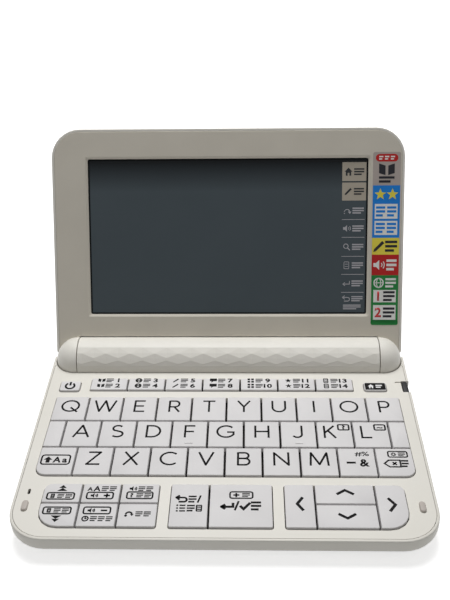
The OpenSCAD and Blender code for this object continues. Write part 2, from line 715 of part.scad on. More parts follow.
module display_window() {
    w = screen_w / 2 + 2;
    color([0.22, 0.23, 0.25]) on_lid()
        translate([-w, -screen_low - screen_h - 2, window_z]) cube([2 * w, screen_h + 4, window_t]);
}

module lcd_panel() {
    w = screen_w / 2 + 1.3;
    color([0.3, 0.32, 0.34]) on_lid() {
        translate([-w, -screen_low - screen_h - 1.3, window_z + window_t])
            cube([2 * w, screen_h + 2.6, lcd_t]);
        // Steel ears by which the display is screwed down
        for (at = lid_screw_at) difference() {
            translate([at[0] < 0 ? at[0] - 2 : w - 0.2, at[1] - 2.5, window_z + window_t])
                cube([at[0] < 0 ? -w + 0.2 - at[0] + 2 : at[0] + 2 - w + 0.2, 5, 0.4]);
            screw_boss(at, 0.9, 2, 5);
        }
    }
}

module backlight() {
    w = screen_w / 2 + 1;
    color([0.9, 0.9, 0.92]) on_lid() translate([-w, -screen_low - screen_h - 1, window_z + window_t + lcd_t])
        cube([2 * w, screen_h + 2, backlight_t]);
}

module display_board() {
    color(board_green) on_lid() {
        translate([-40, -16.4, window_z + 0.6]) cube([80, 4.6, 0.8]);
        translate([-8, -15.6, window_z + 1.4]) cube([16, 3, 0.8]);
    }
}

module display_flex_cable() {
    color([0.75, 0.5, 0.2]) on_lid() {
        translate([36, -15.6, window_z + 1.4]) cube([30, 3, 0.2]);
        translate([63.6, -15.6, window_z + 1.4]) cube([3, 4.6, 0.2]);
    }
}

module hinge_cap(side) {
    color(ivory) on_lid() difference() {
        dome(side, 0);
        drum(pin_r + 0.01, side * 64 - 4, side * 64 + 4);
    }
}

module hinge_cap_left() { hinge_cap(-1); }
module hinge_cap_right() { hinge_cap(1); }

module hinge_pins() {
    color(steel) on_lid() for (s = [-1, 1]) drum(pin_r, s * 61 - 6.6, s * 61 + 6.6);
}

module lid_screws() {
    color(steel) on_lid() for (at = lid_screw_at) {
        screw_boss(at, 1.4, 2.5, 3.1);
        screw_boss(at, 0.6, 3.1, 5.5);
    }
}

bottom_case();
keyboard_deck();
barrel_shell();
battery_cover();
battery_cells();
battery_contacts();
main_board();
key_support_plate();
key_mat();
blank_key_caps();
speaker();
microphone();
headphone_jack();
usb_socket();
card_socket();
lid_bumpers();
rubber_feet();
case_screws();
hinge_clutches();
power_key();
home_key();
dictionary_key_1();
dictionary_key_2();
dictionary_key_3();
dictionary_key_4();
dictionary_key_5();
dictionary_key_6();
dictionary_key_7();
letter_row_top();
letter_row_middle();
letter_row_bottom();
shift_key();
symbol_key();
delete_key();
page_up_key();
page_down_key();
text_size_key();
history_key();
guide_key();
jump_key();
back_key();
enter_key();
left_key();
up_key();
down_key();
right_key();
stylus_barrel();
stylus_ends();
lid_back_cover();
lid_bezel();
display_window();
lcd_panel();
backlight();
display_board();
display_flex_cable();
hinge_cap_left();
hinge_cap_right();
hinge_pins();
lid_screws();
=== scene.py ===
"""Looks of a pocket electronic dictionary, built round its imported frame."""

import json
import logging
import math
from dataclasses import dataclass, field
from enum import Enum
from typing import Iterable, Sequence

import bmesh
import bpy
from mathutils import Matrix, Vector
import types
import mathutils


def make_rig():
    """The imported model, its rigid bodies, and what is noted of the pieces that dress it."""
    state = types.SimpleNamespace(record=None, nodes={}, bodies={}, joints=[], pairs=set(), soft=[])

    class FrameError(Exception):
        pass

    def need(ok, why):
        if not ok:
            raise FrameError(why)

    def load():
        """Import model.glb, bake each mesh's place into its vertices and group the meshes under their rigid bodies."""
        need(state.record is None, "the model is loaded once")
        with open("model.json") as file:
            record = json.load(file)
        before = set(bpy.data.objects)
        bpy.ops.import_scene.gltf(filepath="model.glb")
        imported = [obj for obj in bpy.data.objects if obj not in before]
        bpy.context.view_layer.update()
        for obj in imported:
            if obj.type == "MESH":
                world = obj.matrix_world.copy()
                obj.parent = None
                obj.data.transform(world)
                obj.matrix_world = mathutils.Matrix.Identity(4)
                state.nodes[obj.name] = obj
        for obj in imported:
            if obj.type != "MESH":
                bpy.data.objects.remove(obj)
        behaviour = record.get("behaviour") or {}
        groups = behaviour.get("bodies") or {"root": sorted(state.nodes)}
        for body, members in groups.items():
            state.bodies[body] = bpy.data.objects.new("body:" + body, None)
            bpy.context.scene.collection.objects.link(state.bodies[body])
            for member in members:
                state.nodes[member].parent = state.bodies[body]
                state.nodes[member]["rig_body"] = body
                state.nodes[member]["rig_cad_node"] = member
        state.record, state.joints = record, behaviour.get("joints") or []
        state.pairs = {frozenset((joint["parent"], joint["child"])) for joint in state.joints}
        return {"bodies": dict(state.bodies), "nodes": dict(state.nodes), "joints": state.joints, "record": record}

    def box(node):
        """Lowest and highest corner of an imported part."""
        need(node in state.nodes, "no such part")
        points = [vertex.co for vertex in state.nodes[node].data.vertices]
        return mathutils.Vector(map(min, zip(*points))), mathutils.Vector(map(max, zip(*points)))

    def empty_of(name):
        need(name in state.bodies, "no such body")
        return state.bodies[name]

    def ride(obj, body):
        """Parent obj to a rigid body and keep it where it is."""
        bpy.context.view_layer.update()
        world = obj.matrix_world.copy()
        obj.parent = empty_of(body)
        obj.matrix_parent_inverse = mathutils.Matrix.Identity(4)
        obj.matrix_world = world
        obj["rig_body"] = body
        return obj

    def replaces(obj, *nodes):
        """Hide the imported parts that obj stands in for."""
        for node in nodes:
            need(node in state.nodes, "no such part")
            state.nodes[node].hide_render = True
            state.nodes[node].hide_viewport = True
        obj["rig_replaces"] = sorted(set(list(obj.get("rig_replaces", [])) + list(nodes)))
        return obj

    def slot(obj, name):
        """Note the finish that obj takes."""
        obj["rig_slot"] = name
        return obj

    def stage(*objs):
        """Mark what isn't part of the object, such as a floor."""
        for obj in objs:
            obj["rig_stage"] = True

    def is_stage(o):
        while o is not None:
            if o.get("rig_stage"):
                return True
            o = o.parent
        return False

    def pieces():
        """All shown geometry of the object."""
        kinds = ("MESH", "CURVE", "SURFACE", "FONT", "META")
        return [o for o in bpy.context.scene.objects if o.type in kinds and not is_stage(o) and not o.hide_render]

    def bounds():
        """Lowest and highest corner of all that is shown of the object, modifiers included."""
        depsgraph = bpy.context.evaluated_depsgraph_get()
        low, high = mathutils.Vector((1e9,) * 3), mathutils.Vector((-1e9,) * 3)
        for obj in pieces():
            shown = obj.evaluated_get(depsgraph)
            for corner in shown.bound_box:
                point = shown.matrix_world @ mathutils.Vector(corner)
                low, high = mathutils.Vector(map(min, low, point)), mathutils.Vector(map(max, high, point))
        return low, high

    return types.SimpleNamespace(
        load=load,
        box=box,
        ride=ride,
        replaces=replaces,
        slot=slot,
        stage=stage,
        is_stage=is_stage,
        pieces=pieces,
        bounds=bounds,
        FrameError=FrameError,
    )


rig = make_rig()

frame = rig.load()

LOG = logging.getLogger("dictionary")
MM = 0.001
HINGE = Vector(next(j for j in frame["joints"] if j["name"] == "lid_hinge")["pos_m"])
DESIGN_HINGE_Y = 0.04355
DESIGN_ORIGIN = Vector((0.0, HINGE.y - DESIGN_HINGE_Y, 0.0))
FROM_DESIGN = Matrix.Translation(DESIGN_ORIGIN) @ Matrix.Scale(MM, 4)
LID_OPEN = math.radians(117.0)
TO_LID = Matrix.Translation(HINGE) @ Matrix.Rotation(-LID_OPEN, 4, "X")
KEY_TOP = 10.2
CAP_FOOT = 7.4
SHARP_TURN = math.radians(33.0)
SHARP_STROKE = math.radians(100.0)
ARC_STEP = 15.0
WELD = 0.000002
FLAT_TURN = math.radians(0.4)
GRAIN_STRENGTH = 0.6
COAT_ROUGHNESS = 0.1
WHITE = (1.0, 1.0, 1.0, 1.0)
FONT_CAPITAL = 0.682
FONT_WELD = 0.0005
RING_WELD = 0.0001
SAME_POINT = 0.001
BAR_STEP = 1.7
LAST_BAR_CUT = 0.25
FRAME_PARTS = frame["record"]["subparts"]
LETTER_ROWS = {
    "letter_row_top": "QWERTYUIOP", "letter_row_middle": "ASDFGHJKL", "letter_row_bottom": "ZXCVBNM",
}

Point = tuple[float, float]
Cell = tuple[float, float, float, float]
Colour = tuple[float, float, float, float]
Mark = tuple[object, ...]
Shape = bmesh.types.BMesh
Socket = bpy.types.NodeSocket
Material = bpy.types.Material


def paint(code: str) -> Colour:
    """Turns a colour as it looks, written as six hex digits, into linear light.

    Args:
        code: Red, green and blue as a screen shows them.

    Returns:
        The linear colour with full alpha.
    """
    parts = [int(code[i : i + 2], 16) / 255 for i in (0, 2, 4)]
    linear = [c / 12.92 if c <= 0.04045 else ((c + 0.055) / 1.055) ** 2.4 for c in parts]
    return (linear[0], linear[1], linear[2], 1.0)


def bow(centre: Point, across: float, up: float, start: float, sweep: float) -> list[Point]:
    """Gives points along part of an ellipse.

    Args:
        centre: Its centre.
        across: Half its width.
        up: Half its height.
        start: Where it starts, in degrees.
        sweep: How far it goes, anticlockwise if positive.

    Returns:
        The points in order.
    """
    steps = max(5, math.ceil(abs(sweep) / ARC_STEP))
    angles = [math.radians(start + sweep * i / steps) for i in range(steps + 1)]
    return [(centre[0] + across * math.cos(a), centre[1] + up * math.sin(a)) for a in angles]


class Slot(Enum):
    """The record's material slots."""

    IVORY = "ivory_plastic"
    KEYS = "key_plastic"
    BEZEL = "bezel_plastic"
    WINDOW = "window_glass"
    LCD = "lcd_glass"
    DIFFUSER = "diffuser_plastic"
    BOARD = "circuit_board"
    PLATE = "plate_steel"
    MAT = "mat_rubber"
    DARK = "dark_plastic"
    SOCKET = "socket_metal"
    BUMPER = "bumper_rubber"
    FOOT = "foot_rubber"
    SCREW = "screw_steel"
    PIN = "pin_steel"
    CLUTCH = "clutch_metal"
    CONTACT = "contact_metal"
    SLEEVE = "cell_sleeve"
    FLEX = "flex_film"


class Wiring:
    """Small helper that adds and joins shader nodes in one tree."""

    def __init__(self, tree: bpy.types.NodeTree) -> None:
        """Keeps the tree that nodes go into."""
        self.tree = tree

    def add(self, kind: str, **values: object) -> bpy.types.Node:
        """Adds a node and sets its plain properties.

        Args:
            kind: Blender's name of the node type.
            **values: Properties of the node by name.

        Returns:
            The new node.
        """
        node = self.tree.nodes.new(kind)
        for name, value in values.items():
            setattr(node, name, value)
        return node

    def join(self, source: Socket, target: Socket) -> None:
        """Links two sockets."""
        self.tree.links.new(source, target)

    def feed(self, value: object, target: Socket) -> None:
        """Links a socket to a target, or sets the target's plain value.

        Args:
            value: The socket or the plain value.
            target: The input that takes it.
        """
        if isinstance(value, Socket):
            self.join(value, target)
        else:
            target.default_value = value

    def place(self) -> Socket:
        """Gives the object's own coordinates."""
        return self.add("ShaderNodeTexCoord").outputs["Object"]

    def noise(self, place: Socket, scale: object, detail: float = 3.0) -> Socket:
        """Adds a noise whose scale is a number or a socket.

        Args:
            place: Where the noise reads its position.
            scale: Cells per metre.
            detail: Octaves of finer noise.

        Returns:
            The noise's value.
        """
        node = self.add("ShaderNodeTexNoise")
        node.inputs["Detail"].default_value = detail
        self.join(place, node.inputs["Vector"])
        self.feed(scale, node.inputs["Scale"])
        return node.outputs["Fac"]

    def math(self, operation: str, first: object, second: object = 0.0) -> Socket:
        """Adds a math node on sockets or numbers.

        Args:
            operation: Blender's name of the operation.
            first: First operand.
            second: Second operand.

        Returns:
            The result's socket.
        """
        node = self.add("ShaderNodeMath", operation=operation)
        self.feed(first, node.inputs[0])
        self.feed(second, node.inputs[1])
        return node.outputs[0]

    def span(self, value: Socket, low: float, high: float) -> Socket:
        """Stretches low..high of a value to 0..1, clamped.

        Args:
            value: The value to stretch.
            low: What becomes 0.
            high: What becomes 1.

        Returns:
            The stretched value.
        """
        node = self.add("ShaderNodeMapRange", clamp=True)
        node.inputs["From Min"].default_value = low
        node.inputs["From Max"].default_value = high
        self.join(value, node.inputs["Value"])
        return node.outputs["Result"]

    def mix(self, share: Socket, first: object, second: object) -> Socket:
        """Mixes two colours, each a socket or a value.

        Args:
            share: How much of the second colour.
            first: First colour.
            second: Second colour.

        Returns:
            The mixed colour.
        """
        node = self.add("ShaderNodeMix", data_type="RGBA")
        self.join(share, node.inputs[0])
        self.feed(first, node.inputs[6])
        self.feed(second, node.inputs[7])
        return node.outputs[2]


class Effects:
    """Shader groups that several finishes share, each built once."""

    CLOUD_SPAN = (0.35, 0.68)
    TOUCH_SCALE = 2.6
    LINE_SCALE = (150.0, 5200.0, 5200.0)
    LINE_SPAN = (0.3, 0.7)
    LINE_GLOSS = 0.16

    def __init__(self) -> None:
        """Builds the groups."""
        self.moulded = self._moulded()
        self.brushed = self._brushed()

    @staticmethod
    def _group(name: str, numbers: Iterable[str]) -> bpy.types.NodeTree:
        """Starts a group that turns a place, two tones and some numbers into a surface.

        Args:
            name: The group's name.
            numbers: Names of its number inputs.

        Returns:
            The group with its sockets.
        """
        group = bpy.data.node_groups.new(name, "ShaderNodeTree")
        given = {"Place": "Vector", "Light Tone": "Color", "Dark Tone": "Color"}
        given |= dict.fromkeys(numbers, "Float")
        made = {"Tone": "Color", "Roughness": "Float", "Grain": "Float"}
        for side, sockets in (("INPUT", given), ("OUTPUT", made)):
            for socket, kind in sockets.items():
                group.interface.new_socket(name=socket, in_out=side, socket_type=f"NodeSocket{kind}")
        return group

    def _moulded(self) -> bpy.types.NodeTree:
        """Builds the moulded surface: faint tone changes, handling marks in the gloss and a fine grain.

        Returns:
            The group.
        """
        group = self._group("moulded_surface", ("Mottle Scale", "Gloss", "Gloss Change", "Grain Scale"))
        w = Wiring(group)
        given, out = w.add("NodeGroupInput").outputs, w.add("NodeGroupOutput").inputs
        cloud = w.span(w.noise(given["Place"], given["Mottle Scale"], 4.0), *self.CLOUD_SPAN)
        w.join(w.mix(cloud, given["Light Tone"], given["Dark Tone"]), out["Tone"])
        touch = w.noise(given["Place"], w.math("MULTIPLY", given["Mottle Scale"], self.TOUCH_SCALE), 5.0)
        change = w.math("MULTIPLY", w.math("SUBTRACT", touch, 0.5), given["Gloss Change"])
        w.join(w.math("ADD", given["Gloss"], change), out["Roughness"])
        w.join(w.noise(given["Place"], given["Grain Scale"], 2.0), out["Grain"])
        return group

    def _brushed(self) -> bpy.types.NodeTree:
        """Builds rolled or brushed metal, whose tone, gloss and grain follow fine lines along X.

        Returns:
            The group.
        """
        group = self._group("brushed_metal", ("Gloss",))
        w = Wiring(group)
        given, out = w.add("NodeGroupInput").outputs, w.add("NodeGroupOutput").inputs
        stretch = w.add("ShaderNodeVectorMath", operation="MULTIPLY")
        stretch.inputs[1].default_value = self.LINE_SCALE
        w.join(given["Place"], stretch.inputs[0])
        lines = w.noise(stretch.outputs[0], 1.0, 3.0)
        share = w.span(lines, *self.LINE_SPAN)
        w.join(w.mix(share, given["Light Tone"], given["Dark Tone"]), out["Tone"])
        w.join(w.math("ADD", given["Gloss"], w.math("MULTIPLY", lines, self.LINE_GLOSS)), out["Roughness"])
        w.join(lines, out["Grain"])
        return group


def put(node: bpy.types.Node, values: dict[str, object]) -> None:
    """Sets those of the given inputs that a node has.

    Args:
        node: The node.
        values: The plain values by input name.
    """
    for name, value in values.items():
        if name in node.inputs:
            node.inputs[name].default_value = value


@dataclass(frozen=True)
class Moulded:
    """A moulded, printed or rubber finish, on which the others build."""

    name: str
    light: str
    dark: str
    gloss: float = 0.42
    gloss_change: float = 0.1
    mottle_scale: float = 60.0
    grain_scale: float = 3500.0
    grain_height: float = 0.000006
    coat: float = 0.0
    sheen: float = 0.0
    specular: float = 0.5
    metallic: float = 0.0
    effect: str = "moulded"

    def tone(self, w: Wiring, plain: Socket) -> Socket:
        """Gives the colour that shows, here the plain one.

        Args:
            w: The material's wiring.
            plain: The effect group's colour.

        Returns:
            The colour's socket.
        """
        return plain

    def build(self, effects: Effects) -> Material:
        """Makes the material.

        Args:
            effects: The shared shader groups.

        Returns:
            The finished material.
        """
        made = bpy.data.materials.new(self.name)
        made.use_nodes = True
        w = Wiring(made.node_tree)
        shader = made.node_tree.nodes["Principled BSDF"]
        group = w.add("ShaderNodeGroup", node_tree=getattr(effects, self.effect))
        w.join(w.place(), group.inputs["Place"])
        put(group, {"Light Tone": paint(self.light), "Dark Tone": paint(self.dark), "Gloss": self.gloss,
                    "Gloss Change": self.gloss_change, "Mottle Scale": self.mottle_scale,
                    "Grain Scale": self.grain_scale})
        put(shader, {"Metallic": self.metallic, "Specular IOR Level": self.specular,
                     "Sheen Weight": self.sheen, "Coat Weight": self.coat, "Coat Roughness": COAT_ROUGHNESS})
        w.join(self.tone(w, group.outputs["Tone"]), shader.inputs["Base Color"])
        w.join(group.outputs["Roughness"], shader.inputs["Roughness"])
        bump = w.add("ShaderNodeBump")
        put(bump, {"Strength": GRAIN_STRENGTH, "Distance": self.grain_height})
        w.join(group.outputs["Grain"], bump.inputs["Height"])
        w.join(bump.outputs["Normal"], shader.inputs["Normal"])
        return made


@dataclass(frozen=True)
class Screen(Moulded):
    """Dark glass over the display, with painted shade that darkens it towards its upper edge."""

    # painted shade: the tone the glass darkens to at its upper edge, standing in for the bezel lip's shadow
    painted_shade_tone: str = "161c20"
    fade_start: float = 0.0705
    fade_end: float = 0.0825

    def tone(self, w: Wiring, plain: Socket) -> Socket:
        """Paints shade on the glass, darker with its distance from the hinge.

        Args:
            w: The material's wiring.
            plain: The effect group's colour.

        Returns:
            The colour's socket.
        """
        away = TO_LID.to_3x3() @ Vector((0.0, -1.0, 0.0))
        reach = w.add("ShaderNodeVectorMath", operation="DOT_PRODUCT")
        reach.inputs[1].default_value = away
        w.join(w.place(), reach.inputs[0])
        start = away.dot(HINGE)
        # painted shade: share of the darker tone, growing towards the glass's upper edge
        depth = w.span(reach.outputs["Value"], start + self.fade_start, start + self.fade_end)
        return w.mix(depth, plain, paint(self.painted_shade_tone))


@dataclass(frozen=True)
class Metal(Moulded):
    """A rolled, plated or brushed metal finish."""

    gloss: float = 0.25
    grain_height: float = 0.000003
    metallic: float = 1.0
    effect: str = "brushed"


@dataclass(frozen=True)
class CircuitBoard(Moulded):
    """Solder mask over copper tracks, with plated vias."""

    track: str = "2c7a4c"
    via: str = "b9a56a"
    track_scale: float = 260.0
    via_scale: float = 330.0
    via_radius: float = 0.13

    def tone(self, w: Wiring, plain: Socket) -> Socket:
        """Lays tracks and vias over the mask.

        Args:
            w: The material's wiring.
            plain: The effect group's colour.

        Returns:
            The colour's socket.
        """
        bricks = w.add("ShaderNodeTexBrick", offset=0.37)
        put(bricks, {"Scale": self.track_scale, "Mortar Size": 0.035})
        cells = w.add("ShaderNodeTexVoronoi")
        put(cells, {"Scale": self.via_scale})
        for pattern in (bricks, cells):
            w.join(w.place(), pattern.inputs["Vector"])
        vias = w.math("LESS_THAN", cells.outputs["Distance"], self.via_radius)
        return w.mix(vias, w.mix(bricks.outputs["Fac"], plain, paint(self.track)), paint(self.via))


@dataclass(frozen=True)
class CellSleeve(Moulded):
    """Printed sleeve of a dry cell: a wide body colour and a ring at the plus end."""

    ring: str = "c8a24a"
    pitch: float = 0.0505
    ring_start: float = 0.036

    def tone(self, w: Wiring, plain: Socket) -> Socket:
        """Prints each cell's ring.

        Args:
            w: The material's wiring.
            plain: The effect group's colour.

        Returns:
            The colour's socket.
        """
        along = w.add("ShaderNodeSeparateXYZ")
        w.join(w.place(), along.inputs[0])
        turn = w.math("FLOORED_MODULO", along.outputs["X"], self.pitch)
        return w.mix(w.math("GREATER_THAN", turn, self.ring_start), plain, paint(self.ring))


class Palette:
    """Every finish of the object, built on demand and kept."""

    FINISHES: dict[Slot, Moulded] = {Slot(finish.name): finish for finish in (
        Moulded("ivory_plastic", "e9e6de", "e6e3da", gloss=0.45, specular=0.35, mottle_scale=35.0),
        Moulded("key_plastic", "e0dede", "dcdada", gloss=0.5, specular=0.3, mottle_scale=90.0),
        # painted shade: the bezel is the lid's ivory plastic written darker, for the shade on the lid's inner face
        Moulded("bezel_plastic", "dbd5c8", "d7d1c4", gloss=0.5, specular=0.3, grain_scale=5200.0,
                grain_height=0.00001),
        Screen("window_glass", "505a60", "4d575d", gloss=0.16, gloss_change=0.05, mottle_scale=25.0,
               grain_height=0.0000008),
        Moulded("lcd_glass", "3a3d40", "36393c", gloss=0.12, gloss_change=0.04),
        Moulded("diffuser_plastic", "eeeef0", "e8e8ea", gloss=0.5),
        CircuitBoard("circuit_board", "1d5a38", "1d5a38", gloss=0.3, gloss_change=0.08, mottle_scale=90.0,
                     grain_scale=2500.0, grain_height=0.000004),
        Metal("plate_steel", "b9babd", "a9aaad", gloss=0.3),
        Moulded("mat_rubber", "3c3838", "363232", gloss=0.75, specular=0.2),
        Moulded("dark_plastic", "353537", "303032", gloss=0.5, specular=0.3),
        Metal("socket_metal", "c4c4c6", "b2b2b4", gloss=0.22),
        Moulded("bumper_rubber", "c0b8b0", "b9b1a9", gloss=0.6, sheen=0.1),
        Moulded("foot_rubber", "4a4948", "434241", gloss=0.75, sheen=0.15),
        Metal("screw_steel", "a5a5a8", "8f8f92", gloss=0.3),
        Metal("pin_steel", "b4b4b6", "a5a5a7", gloss=0.2),
        Metal("clutch_metal", "a3a4a7", "949598", gloss=0.38),
        Metal("contact_metal", "cfcab8", "bdb8a6", gloss=0.24),
        CellSleeve("cell_sleeve", "2f4f7f", "274570", gloss=0.28, gloss_change=0.06, mottle_scale=120.0,
                   grain_scale=3000.0, grain_height=0.000002, metallic=0.35),
        Moulded("flex_film", "b97f38", "a8702c", gloss=0.25, mottle_scale=300.0, coat=0.3),
    )}

    def __init__(self) -> None:
        """Builds the shared effects."""
        self.effects = Effects()
        self.made: dict[str, Material] = {}

    def of(self, finish: Moulded | Slot) -> Material:
        """Gives the material of a finish or of a slot.

        Args:
            finish: The finish, or the slot whose finish it is.

        Returns:
            The material, the same one each time.
        """
        wanted = self.FINISHES[finish] if isinstance(finish, Slot) else finish
        if wanted.name not in self.made:
            self.made[wanted.name] = wanted.build(self.effects)
        return self.made[wanted.name]

    def dress_nodes(self) -> None:
        """Gives every node of the frame the finish of its slot."""
        for part in FRAME_PARTS:
            mesh = frame["nodes"][part["node"]].data
            mesh.materials.clear()
            mesh.materials.append(self.of(Slot(part["material_slot"])))


def show(name: str, data: object) -> bpy.types.Object:
    """Adds an object to the scene.

    Args:
        name: Its name.
        data: Its mesh, curve, lamp or camera.

    Returns:
        The object.
    """
    held = bpy.data.objects.new(name, data)
    bpy.context.scene.collection.objects.link(held)
    return held


def settle(shape: Shape, name: str, body: str, finishes: Iterable[Material], slot: Slot,
           place: Matrix = Matrix()) -> bpy.types.Object:
    """Turns a finished bmesh into a piece that rides on a body.

    Args:
        shape: The mesh, which is freed.
        name: The piece's name.
        body: The body it rides on.
        finishes: Materials in the order of the faces' indices.
        slot: The record's slot that the piece takes its finish from.
        place: Where the mesh goes in the model.

    Returns:
        The piece.
    """
    shape.transform(place)
    mesh = bpy.data.meshes.new(name)
    shape.to_mesh(mesh)
    shape.free()
    for finish in finishes:
        mesh.materials.append(finish)
    piece = show(name, mesh)
    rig.ride(piece, body)
    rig.slot(piece, slot.value)
    LOG.info("%s: %d faces on %s", name, len(mesh.polygons), piece["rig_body"])
    return piece


def shade_by_angle(shape: Shape) -> None:
    """Smooths faces and keeps edges crisp where the surface turns sharply.

    Args:
        shape: The mesh to mark.
    """
    for face in shape.faces:
        face.smooth = True
    for edge in shape.edges:
        edge.smooth = len(edge.link_faces) == 2 and edge.calc_face_angle(0.0) < SHARP_TURN


def absorb(whole: Shape, shape: Shape) -> None:
    """Moves a shape into a whole.

    Args:
        whole: The mesh that grows.
        shape: The mesh that goes into it, which is freed.
    """
    held = bpy.data.meshes.new("held")
    shape.to_mesh(held)
    shape.free()
    whole.from_mesh(held)
    bpy.data.meshes.remove(held)


def rectangle(low: Point, high: Point, level: float = 0.0) -> Shape:
    """Starts a mesh with one flat rectangle.

    Args:
        low: Its lower left corner.
        high: Its upper right corner.
        level: Its height.

    Returns:
        The mesh, its corners anticlockwise from the lower left.
    """
    shape = bmesh.new()
    corners = ((low[0], low[1]), (high[0], low[1]), (high[0], high[1]), (low[0], high[1]))
    shape.faces.new([shape.verts.new((x, y, level)) for x, y in corners])
    return shape


def lift(shape: Shape, height: float) -> None:
    """Extrudes flat faces upwards.

    Args:
        shape: The mesh, nothing but flat faces.
        height: How far they go.
    """
    lifted = bmesh.ops.extrude_face_region(shape, geom=shape.faces[:])["geom"]
    top = [v for v in lifted if isinstance(v, bmesh.types.BMVert)]
    bmesh.ops.translate(shape, verts=top, vec=(0.0, 0.0, height))


def round_off(shape: Shape, geom: Sequence[object], offset: float, segments: int,
              affect: str = "VERTICES") -> None:
    """Bevels corners or edges.

    Args:
        shape: The mesh.
        geom: Its corners or edges to bevel.
        offset: The bevel's width.
        segments: How many steps it has.
        affect: VERTICES or EDGES.
    """
    bmesh.ops.bevel(shape, geom=geom, offset=offset, offset_type="OFFSET", segments=segments, profile=0.5,
                    affect=affect, clamp_overlap=affect == "EDGES", material=-1)


def merged_copy(node: str) -> Shape:
    """Copies a node's mesh with its loose triangles joined.

    Args:
        node: The node to copy.

    Returns:
        A new bmesh in the model's place.
    """
    shape = bmesh.new()
    shape.from_mesh(frame["nodes"][node].data)
    bmesh.ops.remove_doubles(shape, verts=shape.verts[:], dist=WELD)
    bmesh.ops.dissolve_limit(shape, angle_limit=FLAT_TURN, verts=shape.verts[:], edges=shape.edges[:])
    return shape


